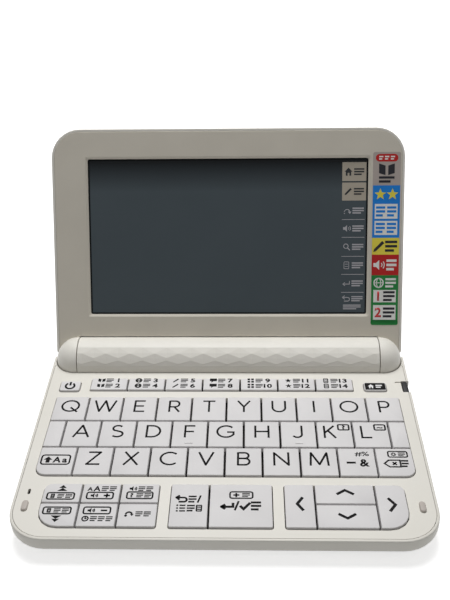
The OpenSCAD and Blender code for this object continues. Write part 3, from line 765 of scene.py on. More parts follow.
@dataclass
class Print:
    """Thin printed marks, drawn in millimetres and gathered as closed plates."""

    thickness: float = 0.02
    ink: int = 0
    mesh: Shape = field(default_factory=bmesh.new)

    def _take(self, shape: Shape) -> None:
        """Adds a finished shape in the current ink.

        Args:
            shape: The shape, which is freed.
        """
        bmesh.ops.recalc_face_normals(shape, faces=shape.faces[:])
        for face in shape.faces:
            face.material_index = self.ink
        absorb(self.mesh, shape)

    def _raise(self, shape: Shape) -> None:
        """Gives flat faces their thickness and adds them.

        Args:
            shape: Flat faces at height zero.
        """
        lift(shape, self.thickness)
        self._take(shape)

    def bar(self, start: Point, end: Point, width: float) -> None:
        """Draws a straight stroke with square ends.

        Args:
            start: One end.
            end: The other end.
            width: The stroke's width.
        """
        way = Vector((end[0] - start[0], end[1] - start[1]))
        middle = Matrix.Translation(((start[0] + end[0]) / 2, (start[1] + end[1]) / 2, self.thickness / 2))
        turn = Matrix.Rotation(math.atan2(way.y, way.x), 4, "Z")
        size = Matrix.Diagonal((way.length, width, self.thickness, 1.0))
        shape = bmesh.new()
        bmesh.ops.create_cube(shape, size=1.0, matrix=middle @ turn @ size)
        self._take(shape)

    def ribbon(self, points: list[Point], width: float, closed: bool = False) -> None:
        """Draws one stroke with mitred corners.

        Args:
            points: The middle of the stroke.
            width: The stroke's width.
            closed: Whether the last point joins the first.
        """
        path = [Vector(p) for p in points]
        count = len(path)
        shape = bmesh.new()
        pairs = []
        for i, here in enumerate(path):
            before = path[i - 1] if closed or i else None
            after = path[(i + 1) % count] if closed or i < count - 1 else None
            legs = ((before, here), (here, after))
            ways = [(b - a).normalized() for a, b in legs if a is not None and b is not None]
            sides = [Vector((-way.y, way.x)) for way in ways]
            side = (sides[0] + sides[-1]).normalized()
            reach = width / 2 / side.dot(sides[0])
            edges = (here - side * reach, here + side * reach)
            pairs.append([shape.verts.new((p.x, p.y, 0.0)) for p in edges])
        for i in range(count if closed else count - 1):
            (a, b), (c, d) = pairs[i], pairs[(i + 1) % count]
            shape.faces.new((a, c, d, b))
        self._raise(shape)

    def line(self, points: list[Point], width: float) -> None:
        """Draws a stroke, mitred at easy corners and rounded where it turns back.

        Args:
            points: The corners in order; the first again at the end closes it.
            width: The stroke's width.
        """
        if math.dist(points[0], points[-1]) < SAME_POINT:
            self.ribbon(points[:-1], width, closed=True)
            return
        start = 0
        for i in range(1, len(points) - 1):
            into = Vector(points[i]) - Vector(points[i - 1])
            out = Vector(points[i + 1]) - Vector(points[i])
            if into.angle(out) > SHARP_STROKE:
                self.ribbon(points[start : i + 1], width)
                self.disc(points[i], width / 2)
                start = i
        self.ribbon(points[start:], width)

    def disc(self, centre: Point, radius: float) -> None:
        """Draws a filled circle.

        Args:
            centre: Its centre.
            radius: Its radius.
        """
        shape = bmesh.new()
        place = Matrix.Translation((centre[0], centre[1], self.thickness / 2))
        bmesh.ops.create_cone(shape, cap_ends=True, segments=16, radius1=radius, radius2=radius,
                              depth=self.thickness, matrix=place)
        self._take(shape)

    def arc(self, centre: Point, radius: float, width: float, start: float = 0.0,
            sweep: float = 360.0) -> None:
        """Draws part of a circle, or a whole ring.

        Args:
            centre: Its centre.
            radius: Radius of the stroke's middle.
            width: The stroke's width.
            start: Where it starts, in degrees.
            sweep: How far it goes, in degrees.
        """
        shape = bmesh.new()
        half = width / 2
        corners = [(radius - half, 0, 0), (radius + half, 0, 0), (radius + half, 0, self.thickness),
                   (radius - half, 0, self.thickness)]
        verts = [shape.verts.new(c) for c in corners]
        for one, two in zip(verts, verts[1:] + verts[:1]):
            shape.edges.new((one, two))
        whole = sweep >= 360.0
        bmesh.ops.spin(shape, geom=shape.verts[:] + shape.edges[:], cent=(0, 0, 0), axis=(0, 0, 1),
                       dvec=(0, 0, 0), angle=math.radians(sweep),
                       steps=max(4, round(sweep / ARC_STEP)), use_merge=whole, use_duplicate=False)
        if whole:
            bmesh.ops.remove_doubles(shape, verts=shape.verts[:], dist=RING_WELD)
        else:
            bmesh.ops.holes_fill(shape, edges=shape.edges[:], sides=4)
        turn = Matrix.Rotation(math.radians(start), 4, "Z")
        shape.transform(Matrix.Translation((centre[0], centre[1], 0)) @ turn)
        self._take(shape)

    def slab(self, low: Point, high: Point, radius: float = 0.0, width: float = 0.0) -> None:
        """Draws a rectangle with rounded corners, filled or as an outline.

        Args:
            low: Its lower left corner.
            high: Its upper right corner.
            radius: Radius of the corners.
            width: Width of the outline, or 0 where it is filled.
        """
        shape = rectangle(low, high)
        if radius:
            round_off(shape, shape.verts[:], radius, 4)
        if width:
            inner = shape.faces[:]
            bmesh.ops.inset_region(shape, faces=inner, thickness=width, depth=0.0, use_even_offset=True,
                                   use_boundary=True)
            bmesh.ops.delete(shape, geom=inner, context="FACES_ONLY")
        self._raise(shape)

    def shape(self, points: list[Point]) -> None:
        """Draws a filled polygon.

        Args:
            points: Its corners in order.
        """
        shape = bmesh.new()
        shape.faces.new([shape.verts.new((x, y, 0.0)) for x, y in points])
        self._raise(shape)

    def words(self, body: str, centre: Point, height: float, thin: float, spread: float = 1.0) -> None:
        """Sets characters in a plain built-in face.

        Args:
            body: The characters.
            centre: Middle of the capitals.
            height: Height of a capital.
            thin: How much lighter or heavier the strokes are.
            spread: Widening of the characters.
        """
        curve = bpy.data.curves.new("words", "FONT")
        curve.body = body
        curve.offset = thin
        curve.resolution_u = 4
        holder = show("words", curve)
        bpy.context.view_layer.update()
        flat = bpy.data.meshes.new_from_object(holder.evaluated_get(bpy.context.evaluated_depsgraph_get()))
        shape = bmesh.new()
        shape.from_mesh(flat)
        bpy.data.objects.remove(holder)
        bpy.data.curves.remove(curve)
        bpy.data.meshes.remove(flat)
        scale = height / (FONT_CAPITAL + 2 * thin)
        low = min(v.co.x for v in shape.verts)
        high = max(v.co.x for v in shape.verts)
        bmesh.ops.remove_doubles(shape, verts=shape.verts[:], dist=FONT_WELD)
        shape.transform(Matrix.Translation((centre[0], centre[1] - height / 2, 0.0))
                        @ Matrix.Diagonal((scale * spread, scale, 1.0, 1.0))
                        @ Matrix.Translation((-(low + high) / 2, thin, 0.0)))
        for vert in shape.verts:
            vert.co.z = 0.0
        self._raise(shape)

    def rows(self, x: float, y: float, width: float, height: float, count: int = 3) -> None:
        """Draws a block of bars, the last one shorter, that stands for small print.

        Args:
            x: Across to the block's middle.
            y: Up to the block's middle.
            width: The block's width.
            height: The block's height.
            count: How many bars.
        """
        thick = height / (BAR_STEP * (count - 1) + 1)
        for i in range(count):
            level = y + height / 2 - thick * (0.5 + BAR_STEP * i)
            end = x + width / 2 - (LAST_BAR_CUT * width if i == count - 1 else 0.0)
            self.bar((x - width / 2, level), (end, level), thick)

    def draw(self, marks: Iterable[Mark], x: float = 0.0, y: float = 0.0, unit: float = 1.0,
             stroke: float = 1.0) -> None:
        """Draws marks about a centre.

        Args:
            marks: Each is a kind with its numbers, or a sign with its place, size and stroke.
            x: Across to the centre.
            y: Up to the centre.
            unit: The marks' unit of length.
            stroke: The marks' unit of width.
        """
        for mark in marks:
            match mark:
                case ("fill", *at):
                    self.shape(spots(at, x, y, unit))
                case ("line", width, *at):
                    self.line(spots(at, x, y, unit), width * stroke)
                case ("bar", width, *at):
                    self.bar(*spots(at, x, y, unit), width * stroke)
                case ("disc", radius, *at):
                    self.disc(*spots(at, x, y, unit), radius * stroke)
                case ("arc", width, across, up, radius, *turns):
                    self.arc(*spots((across, up), x, y, unit), radius * unit, width * stroke, *turns)
                case ("slab", radius, *at):
                    self.slab(*spots(at, x, y, unit), radius * unit)
                case ("frame", width, radius, *at):
                    self.slab(*spots(at, x, y, unit), radius * unit, width * stroke)
                case ("text", body, across, up, *setting):
                    self.words(body, (x + across, y + up), *setting)
                case ("rows", across, up, *block):
                    self.rows(x + across, y + up, *block)
                case ("ink", ink, thickness):
                    self.ink, self.thickness = ink, thickness
                case (sign, across, up, size, width):
                    self.draw(SIGNS[sign], x + across, y + up, size / 2, width)


def spots(numbers: Sequence[float], x: float, y: float, unit: float) -> list[Point]:
    """Places points given as a run of numbers.

    Args:
        numbers: Across and up in turn.
        x: Across to the centre.
        y: Up to the centre.
        unit: The numbers' unit.

    Returns:
        The points.
    """
    return [(x + u * unit, y + v * unit) for u, v in zip(numbers[::2], numbers[1::2])]


def run(points: Iterable[Point]) -> list[float]:
    """Writes points as one run of numbers."""
    return [number for point in points for number in point]


def ray(turn: float, reach: float = 1.0) -> Point:
    """Gives the point at an angle in degrees and a distance."""
    return (reach * math.cos(math.radians(turn)), reach * math.sin(math.radians(turn)))


# Signs are drawn in half sizes and strokes; the last three are in millimetres.
SIGNS: dict[str, list[Mark]] = {
    "speaker": [
        ("fill", -1, -0.35, -0.5, -0.35, 0.05, -0.9, 0.05, 0.9, -0.5, 0.35, -1, 0.35),
        ("arc", 0.8, 0.05, 0, 0.5, -42, 84), ("arc", 0.8, 0.05, 0, 0.92, -42, 84),
    ],
    "house": [
        ("fill", -1, 0, 0, 1, 1, 0, 0.68, 0, 0.68, -1, 0.22, -1, 0.22, -0.3, -0.22, -0.3, -0.22, -1,
         -0.68, -1, -0.68, 0),
    ],
    "power": [("arc", 1, 0, -0.12, 0.84, 125, 290), ("bar", 1, 0, 0, 0, 1.04)],
    "book": [
        ("fill", -0.18, 0.54, -1.04, 0.828, -1.04, -0.4464, -0.18, -0.72),
        ("fill", 0.18, -0.72, 1.04, -0.4464, 1.04, 0.828, 0.18, 0.54),
    ],
    "globe": [
        ("arc", 1, 0, 0, 1), ("line", 0.7, *run(bow((0.0, 0.0), 0.45, 1.0, 90.0, 360.0))),
        ("bar", 0.7, -1, 0, 1, 0),
    ],
    "bubble": [
        ("slab", 0.168, -1.04, -0.336, 1.04, 0.896), ("fill", -0.52, -0.336, -0.624, -0.952, 0.104, -0.336),
    ],
    "grid": [("slab", 0, a, b, a + 0.76, b + 0.76) for a in (-0.92, 0.16) for b in (-0.92, 0.16)],
    "star": [("fill", *run(ray(90 + 36 * i, 0.42 if i % 2 else 1.0) for i in range(10)))],
    "back": [
        ("line", 1, -0.7, 0.35, 0.45, 0.35), ("arc", 1, 0.45, -0.15, 0.5, -90, 180),
        ("bar", 1, 0.45, -0.65, -0.5, -0.65), ("line", 1, -0.35, 0.85, -0.95, 0.35, -0.35, -0.15),
    ],
    "enter": [
        ("line", 1, 0.9, 0.6, 0.9, -0.2, -0.8, -0.2), ("line", 1, -0.3, 0.25, -0.9, -0.2, -0.3, -0.65),
    ],
    "jump": [
        ("arc", 1, 0, -0.45, 0.75, 20, 150), ("fill", 0.25, -0.25, 1.15, -0.25, 0.75, -0.9),
        ("disc", 0.75, -0.7, -0.75),
    ],
    "clock": [("arc", 1, 0, 0, 1), ("line", 0.9, 0, 0.75, 0, 0, 0.55, 0)],
    "lens": [("arc", 1, -0.2, 0.2, 0.6), ("bar", 1.3, 0.25, -0.25, 0.9, -0.9)],
    "pencil": [("fill", -0.9, -0.9, -0.5, -0.8, 0.85, 0.5, 0.5, 0.85, -0.8, -0.5)],
    "page": [
        ("frame", 0.75, 0.24, -0.72, -1, 0.72, 1), ("bar", 0.75, -0.396, 0.32, 0.396, 0.32),
        ("bar", 0.75, -0.396, -0.32, 0.396, -0.32),
    ],
    "gear": [("arc", 1, 0, 0, 0.55), *(("bar", 0.8, *ray(45 * i, 0.6), *ray(45 * i)) for i in range(8))],
    "erase": [
        ("line", 1, -1.24, 0, -0.496, 0.72, 1.24, 0.72, 1.24, -0.72, -0.496, -0.72, -1.24, 0, -0.496, 0.72),
        ("bar", 1, 0.0472, -0.3, 0.6472, 0.3), ("bar", 1, 0.0472, 0.3, 0.6472, -0.3),
    ],
    "shift": [("fill", -1, 0, 0, 1, 1, 0, 0.45, 0, 0.45, -0.9, -0.45, -0.9, -0.45, 0)],
    "tick": [("line", 1, -1, 0, -0.3, -0.8, 1, 0.8)],
    "list": [
        mark for level in (1.24, 0.0, -1.24)
        for mark in (("disc", 0.36, -1.25, level), ("bar", 0.6, -0.47, level, 1.55, level))
    ],
    "page_box": [
        ("frame", 0.58, 1, -5.25, -1.75, 4.75, 1.75), ("page", -3, 0, 1.95, 0.5),
        ("rows", -0.2, 0, 2.3, 1.8), ("rows", 2.6, 0, 2.3, 1.8),
    ],
    "sound_box": [
        ("frame", 0.58, 1, -4.85, -1.75, 4.85, 1.75), ("speaker", -2, 0, 2.4, 0.5),
        ("bar", 0.7, 1.3, 0, 3.5, 0),
    ],
}

# What is printed on each key, in millimetres about its middle.
LEGENDS: dict[str, list[Mark]] = {
    "power_key": [("power", 0, 0.15, 4.2, 0.85)],
    "home_key": [
        ("slab", 0.5, -4.1, -2.05, 4.1, 2.1), ("ink", 1, 0.03), ("house", -1.7, 0.05, 2.4, 0.35),
        ("rows", 1.5, 0.05, 2.6, 1.8, 2),
    ],
    "shift_key": [
        ("frame", 0.62, 1.3, -5.7, -2.15, 5.3, 3.1), ("shift", -3, 0.4, 3.2, 0.5),
        ("text", "A", 0.3, 0.45, 2.9, 0.035), ("text", "a", 3.2, 0.45, 2.9, 0.035),
    ],
    "symbol_key": [
        ("bar", 0.95, -3.9, -0.4, -0.6, -0.4), ("text", "&", 2.5, -0.45, 3.7, 0.03),
        ("text", "#%", 2, 4.05, 2.2, 0.014, 1.3),
    ],
    "delete_key": [
        ("frame", 0.55, 0.9, -2.45, 2.2, 5, 5.6), ("gear", -0.2, 3.9, 2.05, 0.35875),
        ("rows", 2.7, 3.9, 2.6, 1.8), ("erase", -1.2, -0.75, 4.6, 0.62), ("rows", 3.3, -0.75, 2.6, 3.5),
    ],
    "page_up_key": [
        ("fill", -1.432, 2.12, -0.1, 3.52, 1.232, 2.12), ("fill", -1.95, 0.72, -0.1, 2.12, 1.75, 0.72),
        ("page_box", 0, -1.54, 2, 1),
    ],
    "page_down_key": [
        ("fill", 1.232, -1.85, -0.1, -3.25, -1.432, -1.85),
        ("fill", 1.75, -0.45, -0.1, -1.85, -1.95, -0.45), ("page_box", 0, 1.79, 2, 1),
    ],
    "text_size_key": [
        ("text", "A", -4, 1.75, 1.8, 0.035), ("text", "A", -1.6, 1.95, 2.4, 0.035),
        ("rows", 1.2, 1.95, 2.4, 2.1), ("rows", 4, 1.95, 2.4, 2.1), ("sound_box", -0.2, -1.26, 2, 1),
        ("bar", 0.65, 2.2, -2.21, 2.2, -0.31),
    ],
    "history_key": [
        ("sound_box", -0.2, 1.9, 2, 1), ("clock", -3.7, -1.7, 2, 0.5),
        *(("rows", across, -1.7, 2.25, 2.1) for across in (-0.9, 1.75, 4.4)),
    ],
    "guide_key": [
        ("speaker", -2.6, 2, 2.5, 0.5), ("rows", 0.4, 2, 2.35, 2.1), ("rows", 3.15, 2, 2.35, 2.1),
        ("frame", 0.58, 1, -4.75, -2.85, 4.75, 0.75), ("text", "?", -2.8, -1.05, 1.95, 0.04, 1.3),
        ("rows", 0, -1.05, 2.35, 1.85), ("rows", 2.75, -1.05, 2.35, 1.85),
    ],
    "jump_key": [
        ("jump", -2.8, 0.8, 2.9, 0.65), ("rows", 0.6, 0.5, 2.4, 2.15), ("rows", 3.4, 0.5, 2.4, 2.15),
    ],
    "back_key": [
        ("back", -2.7, 2.6, 3.8, 0.75), ("rows", 1.1, 2.6, 2.8, 3.1), ("bar", 0.6, 2.9, 1, 3.9, 4.3),
        ("list", -2.7, -1.45, 2, 1), ("rows", 0.7, -1.45, 2.7, 2.9), ("page", 3.5, -1.45, 3, 0.65),
    ],
    "enter_key": [
        ("frame", 0.58, 1, -4.1, 2.8, 4.3, 6.3), ("bar", 0.65, -2.7, 4.56, -0.6, 4.56),
        ("bar", 0.65, -1.65, 3.6, -1.65, 5.5), ("rows", 1.7, 4.56, 2.7, 1.85),
        ("enter", -4.7, -0.3, 4.4, 0.95), ("bar", 0.7, -2.1, -2.3, -0.8, 1.8), ("tick", 1.4, -0.3, 3.5, 1),
        ("rows", 5.1, -0.3, 3.5, 4),
    ],
    "left_key": [("line", 1.05, 1.15, -2.2, -0.85, 0.75, 1.15, 3.7)],
    "right_key": [("line", 1.05, -1.25, 3.55, 0.95, 0.6, -1.25, -2.35)],
    "up_key": [("line", 1.05, -2.8, -0.1, 0.15, 1.8, 3.1, -0.1)],
    "down_key": [("line", 1.05, 2.9, 1.05, -0.05, -0.85, -3, 1.05)],
}
LEGEND_INKS = (
    Moulded("legend_ink", "100f10", "151415", gloss=0.6, specular=0.12, grain_height=0.000002),
    Moulded("legend_white", "eeeeee", "e8e8e8", gloss=0.5, grain_height=0.000002),
)
SECOND_SIGNS = {"K": "?", "L": "~"}
VOLUME_SIGNS = ("book", "globe", "pencil", "bubble", "grid", "star", "page")


def volume(number: int) -> list[Mark]:
    """Lists the marks of a key for two volumes: a sign, small print and a number for each.

    Args:
        number: 0 for the key at the left.

    Returns:
        The marks about the key's middle.
    """
    sign = VOLUME_SIGNS[number]
    size = 2.25 if sign == "globe" else 2.8
    marks: list[Mark] = []
    for line, level in enumerate((2.25, -1.1)):
        marks += [(sign, -3.3, level, size, 0.55), ("rows", 0.1, level, 2.9, 2.3),
                  ("text", str(2 * number + line + 1), 3.6, level, 2.4, 0.035, 1.25)]
    return marks


def capitals() -> dict[str, list[Sequence[float]]]:
    """Draws the capitals as thin strokes about their middle, in units of their height.

    Returns:
        The strokes of each letter, each a run of numbers.
    """
    top, foot = 0.958, 0.042
    ring = run(bow((0.0, 0.5), 0.5, 0.465, 90.0, 360.0))
    stem = (-0.28, 0, -0.28, 1)
    bowl = (-0.28, top, *run(bow((0.05, 0.7), 0.24, 0.258, 90.0, -180.0)), -0.28, 0.442)
    return {
        "A": [(-0.44, 0, 0, 0.97, 0.44, 0), (-0.3, 0.31, 0.3, 0.31)],
        "B": [(-0.31, 0, -0.31, 1),
              (-0.31, top, *run(bow((0.05, 0.742), 0.22, 0.216, 90.0, -180.0)), -0.31, 0.526),
              (-0.31, 0.526, *run(bow((0.07, 0.284), 0.25, 0.242, 90.0, -180.0)), -0.31, foot)],
        "C": [run(bow((0.07, 0.5), 0.51, 0.465, 47.0, 266.0))],
        "D": [(-0.38, foot, -0.38, top, *run(bow((-0.08, 0.5), 0.46, 0.458, 90.0, -180.0)), -0.38, foot)],
        "E": [(0.31, top, -0.28, top, -0.28, foot, 0.31, foot), (-0.28, 0.51, 0.25, 0.51)],
        "F": [(0.31, top, -0.25, top, -0.25, 0), (-0.25, 0.49, 0.25, 0.49)],
        "G": [run(bow((0.02, 0.5), 0.5, 0.465, 44.0, 286.0)), (0.08, 0.45, 0.45, 0.45, 0.45, 0.22)],
        "H": [(-0.375, 0, -0.375, 1), (0.375, 0, 0.375, 1), (-0.375, 0.51, 0.375, 0.51)],
        "I": [(0, 0, 0, 1)],
        "J": [(0.2, 1, 0.2, 0.29, *run(bow((-0.06, 0.29), 0.26, 0.25, -10.0, -140.0)))],
        "K": [(-0.29, 0, -0.29, 1), (0.27, 1, -0.29, 0.4), (-0.09, 0.61, 0.33, 0)],
        "L": [(-0.25, 1, -0.25, foot, 0.3, foot)],
        "M": [(-0.49, 0, -0.43, 0.97, 0, 0.1, 0.43, 0.97, 0.49, 0)],
        "N": [(-0.39, 0, -0.39, 0.96, 0.39, 0.04, 0.39, 1)],
        "O": [ring],
        "P": [stem, bowl],
        "Q": [ring, (0.02, 0.37, 0.46, -0.02)],
        "R": [stem, bowl, (0, 0.44, 0.31, 0)],
        "S": [run(bow((0.0, 0.735), 0.28, 0.223, 38.0, 190.0) + bow((0.0, 0.27), 0.31, 0.228, 58.0, -200.0))],
        "T": [(-0.36, top, 0.36, top), (0, top, 0, 0)],
        "U": [(-0.375, 1, *run(bow((0.0, 0.38), 0.375, 0.34, 180.0, 180.0)), 0.375, 1)],
        "V": [(-0.4, 1, 0, 0.03, 0.4, 1)],
        "W": [(-0.63, 1, -0.31, 0.03, 0, 0.97, 0.31, 0.03, 0.63, 1)],
        "X": [(-0.37, 1, 0.39, 0), (0.37, 1, -0.39, 0)],
        "Y": [(-0.36, 1, 0, 0.46, 0.36, 1), (0, 0.46, 0, 0)],
        "Z": [(-0.33, top, 0.34, top, -0.36, foot, 0.37, foot)],
    }


@dataclass
class KeyField:
    """The typing keys: soft-edged caps and what is printed on them."""

    palette: Palette
    pitch: float = 13.64
    row: float = 14.3
    rear: float = 18.2
    gap: float = 0.39
    plunger: float = 1.6
    plunger_foot: float = 5.6
    blank_foot: float = 4.8
    rim: float = 0.32
    letter: float = 6.6
    letter_shift: float = 1.3
    letter_stroke: float = 0.79
    sharp: float = 0.25
    bar_size: tuple[float, float, float] = (3.0, 0.5, 0.24)
    bar_shift: float = 4.95
    bar_rise: float = 0.07
    bar_round: float = 0.1
    second_room: float = 1.9
    second_place: Point = (5.4, 5.8)
    corners: dict[str, dict[int, float]] = field(default_factory=lambda: {
        "power_key": {0: 1.05, 1: 1.05, 2: 0.65, 3: 0.65}, "home_key": {0: 1.05, 1: 1.05, 2: 0.65, 3: 0.65},
        "shift_key": {0: 3.65}, "delete_key": {1: 3.65}, "page_up_key": {3: 2.65},
        "page_down_key": {0: 7.15}, "guide_key": {2: 0.65}, "jump_key": {1: 0.65},
        "back_key": {0: 0.65, 3: 0.65}, "enter_key": {1: 0.65, 2: 0.65}, "left_key": {0: 0.65, 3: 0.65},
        "right_key": {1: 7.15, 2: 2.65},
    })

    def letter_cells(self, row: int) -> list[Cell]:
        """Lists the letter cells of a row.

        Args:
            row: 0 for the rear row.

        Returns:
            The cells from the left: left, right, front and rear.
        """
        start = -5 * self.pitch + row / 2 * self.pitch
        rear = self.rear - row * self.row
        count = len(list(LETTER_ROWS.values())[row])
        sides = [start + i * self.pitch for i in range(count + 1)]
        return [(left, right, rear - self.row, rear) for left, right in zip(sides, sides[1:])]

    def cap_shape(self, low: Point, high: Point, radii: dict[int, float], foot: float) -> Shape:
        """Makes one key top with a soft edge and its plunger.

        Args:
            low: Front left corner in plan.
            high: Rear right corner in plan.
            radii: Corner radii that aren't sharp, counted from the front left, anticlockwise.
            foot: Height at which the plunger ends.

        Returns:
            The cap in design millimetres.
        """
        shape = rectangle(low, high, CAP_FOOT)
        for i, vert in enumerate(shape.verts[:]):
            round_off(shape, [vert], radii.get(i, self.sharp), 5)
        lift(shape, KEY_TOP - CAP_FOOT)
        bmesh.ops.recalc_face_normals(shape, faces=shape.faces[:])
        rim = [e for e in shape.edges if all(v.co.z > KEY_TOP - 0.01 for v in e.verts)]
        round_off(shape, rim, self.rim, 3, "EDGES")
        centre = ((low[0] + high[0]) / 2, (low[1] + high[1]) / 2, (foot + CAP_FOOT) / 2)
        bmesh.ops.create_cone(shape, cap_ends=True, segments=24, radius1=self.plunger, radius2=self.plunger,
                              depth=CAP_FOOT - foot, matrix=Matrix.Translation(centre))
        shade_by_angle(shape)
        return shape

    def caps(self) -> None:
        """Builds a soft-edged cap for every key, in place of the plain ones."""
        keys = [n for n in frame["nodes"] if n.endswith("_key") or n.startswith("dictionary_key_")]
        for node in sorted(keys):
            low, high = ((corner - DESIGN_ORIGIN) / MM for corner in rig.box(node))
            radii = self.corners.get(node, {})
            self._finish_cap(node, [self.cap_shape(low.xy, high.xy, radii, self.plunger_foot)])
        for row, node in enumerate(LETTER_ROWS):
            shapes = [self._cell_cap(cell, self.plunger_foot) for cell in self.letter_cells(row)]
            if row == 1:
                shapes += [self._bar_under(self.letter_cells(1)[i]) for i in (3, 6)]
            self._finish_cap(node, shapes)
        side, half = 5 * self.pitch, self.pitch / 2
        rear = self.rear - self.row
        ends = [(-side, -side + half, rear - self.row, rear), (side - half, side, rear - self.row, rear)]
        self._finish_cap("blank_key_caps", [self._cell_cap(cell, self.blank_foot) for cell in ends])

    def _cell_cap(self, cell: Cell, foot: float) -> Shape:
        """Makes a plain cap inside a cell."""
        low, high = (cell[0] + self.gap, cell[2] + self.gap), (cell[1] - self.gap, cell[3] - self.gap)
        return self.cap_shape(low, high, {}, foot)

    def _bar_under(self, cell: Cell) -> Shape:
        """Makes the locating bar on a key where a forefinger rests.

        Args:
            cell: The key's cell.

        Returns:
            The bar in design millimetres.
        """
        shape = bmesh.new()
        middle = ((cell[0] + cell[1]) / 2, (cell[2] + cell[3]) / 2 - self.bar_shift, KEY_TOP + self.bar_rise)
        size = Matrix.Diagonal((*self.bar_size, 1.0))
        bmesh.ops.create_cube(shape, size=1.0, matrix=Matrix.Translation(middle) @ size)
        top = [e for e in shape.edges if all(v.co.z > KEY_TOP + self.bar_rise for v in e.verts)]
        round_off(shape, top, self.bar_round, 2, "EDGES")
        return shape

    def _finish_cap(self, node: str, shapes: list[Shape]) -> None:
        """Joins caps into one piece that stands for a node.

        Args:
            node: The node it stands for.
            shapes: The caps, which are freed.
        """
        whole = bmesh.new()
        for shape in shapes:
            absorb(whole, shape)
        piece = settle(whole, f"{node}_cap", frame["nodes"][node]["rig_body"], [self.palette.of(Slot.KEYS)],
                       Slot.KEYS, FROM_DESIGN)
        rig.replaces(piece, node)

    def legend(self, node: str, ink: Print) -> None:
        """Puts printed marks on a key.

        Args:
            node: The key that carries them.
            ink: The marks, in design millimetres at height zero.
        """
        place = FROM_DESIGN @ Matrix.Translation((0.0, 0.0, KEY_TOP))
        inks = [self.palette.of(finish) for finish in LEGEND_INKS]
        settle(ink.mesh, f"{node}_legend", frame["nodes"][node]["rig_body"], inks, Slot.KEYS, place)

    def letters(self) -> None:
        """Prints the letter rows."""
        strokes = capitals()
        for row, (node, letters) in enumerate(LETTER_ROWS.items()):
            ink = Print()
            for letter, cell in zip(letters, self.letter_cells(row)):
                x = (cell[0] + cell[1]) / 2 - (self.second_room if letter in SECOND_SIGNS else 0.0)
                y = (cell[2] + cell[3]) / 2 + self.letter_shift - self.letter / 2
                lines = [("line", 1, *stroke) for stroke in strokes[letter]]
                ink.draw(lines, x, y, self.letter, self.letter_stroke)
                if letter in SECOND_SIGNS:
                    boxed = [("frame", 0.64, 0.8, -2.35, -1.75, 2.35, 1.75),
                             ("text", SECOND_SIGNS[letter], 0, 0, 2.1, 0.045, 1.3)]
                    ink.draw(boxed, x + self.second_place[0], y + self.second_place[1])
            self.legend(node, ink)

    def signs(self) -> None:
        """Prints the plain signs of the other keys."""
        volumes = {f"dictionary_key_{i + 1}": volume(i) for i in range(len(VOLUME_SIGNS))}
        for node, marks in (LEGENDS | volumes).items():
            low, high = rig.box(node)
            centre = ((low + high) / 2 - DESIGN_ORIGIN) / MM
            ink = Print()
            ink.draw(marks, centre.x, centre.y)
            self.legend(node, ink)

    def build(self) -> None:
        """Builds caps, letters and signs."""
        self.caps()
        self.letters()
        self.signs()


@dataclass
class Shells:
    """The moulded shells, copied from the frame with joined faces so that they shade as mouldings."""

    palette: Palette
    nodes: tuple[str, ...] = (
        "bottom_case", "keyboard_deck", "barrel_shell", "battery_cover", "lid_back_cover", "lid_bezel",
        "hinge_cap_left", "hinge_cap_right", "stylus_barrel", "stylus_ends", "lid_bumpers", "rubber_feet",
        "battery_cells", "hinge_pins",
    )
    # painted light: these shells take a lighter copy of the ivory plastic, which brightens the barrel, its end caps
    # and the battery cover
    painted_light_nodes: tuple[str, ...] = ("barrel_shell", "battery_cover", "hinge_cap_left", "hinge_cap_right")
    facet_turns: tuple[float, float] = (111.0, 161.0)
    facet_reach: float = 0.0078

    def build(self) -> None:
        """Builds every shell's copy."""
        slots = {p["node"]: Slot(p["material_slot"]) for p in FRAME_PARTS}
        # painted light: the ivory plastic written lighter for the barrel's shells
        pale = Moulded("barrel_painted_light_plastic", "f3f0e8", "f0ede4", gloss=0.45, specular=0.35, mottle_scale=35.0)
        for node in self.nodes:
            shape = merged_copy(node)
            shade_by_angle(shape)
            if node == "barrel_shell":
                self._keep_facets(shape)
            finish = pale if node in self.painted_light_nodes else slots[node]
            piece = settle(shape, f"{node}_moulding", frame["nodes"][node]["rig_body"],
                           [self.palette.of(finish)], slots[node])
            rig.replaces(piece, node)

    def _keep_facets(self, shape: Shape) -> None:
        """Leaves the diamond panels of the barrel flat.

        Args:
            shape: The barrel's copy.
        """
        for face in shape.faces:
            middle = face.calc_center_median() - HINGE
            angle = math.degrees(math.atan2(middle.z, middle.y))
            if self.facet_turns[0] < angle < self.facet_turns[1] and middle.yz.length > self.facet_reach:
                face.smooth = False
                for edge in face.edges:
                    edge.smooth = False


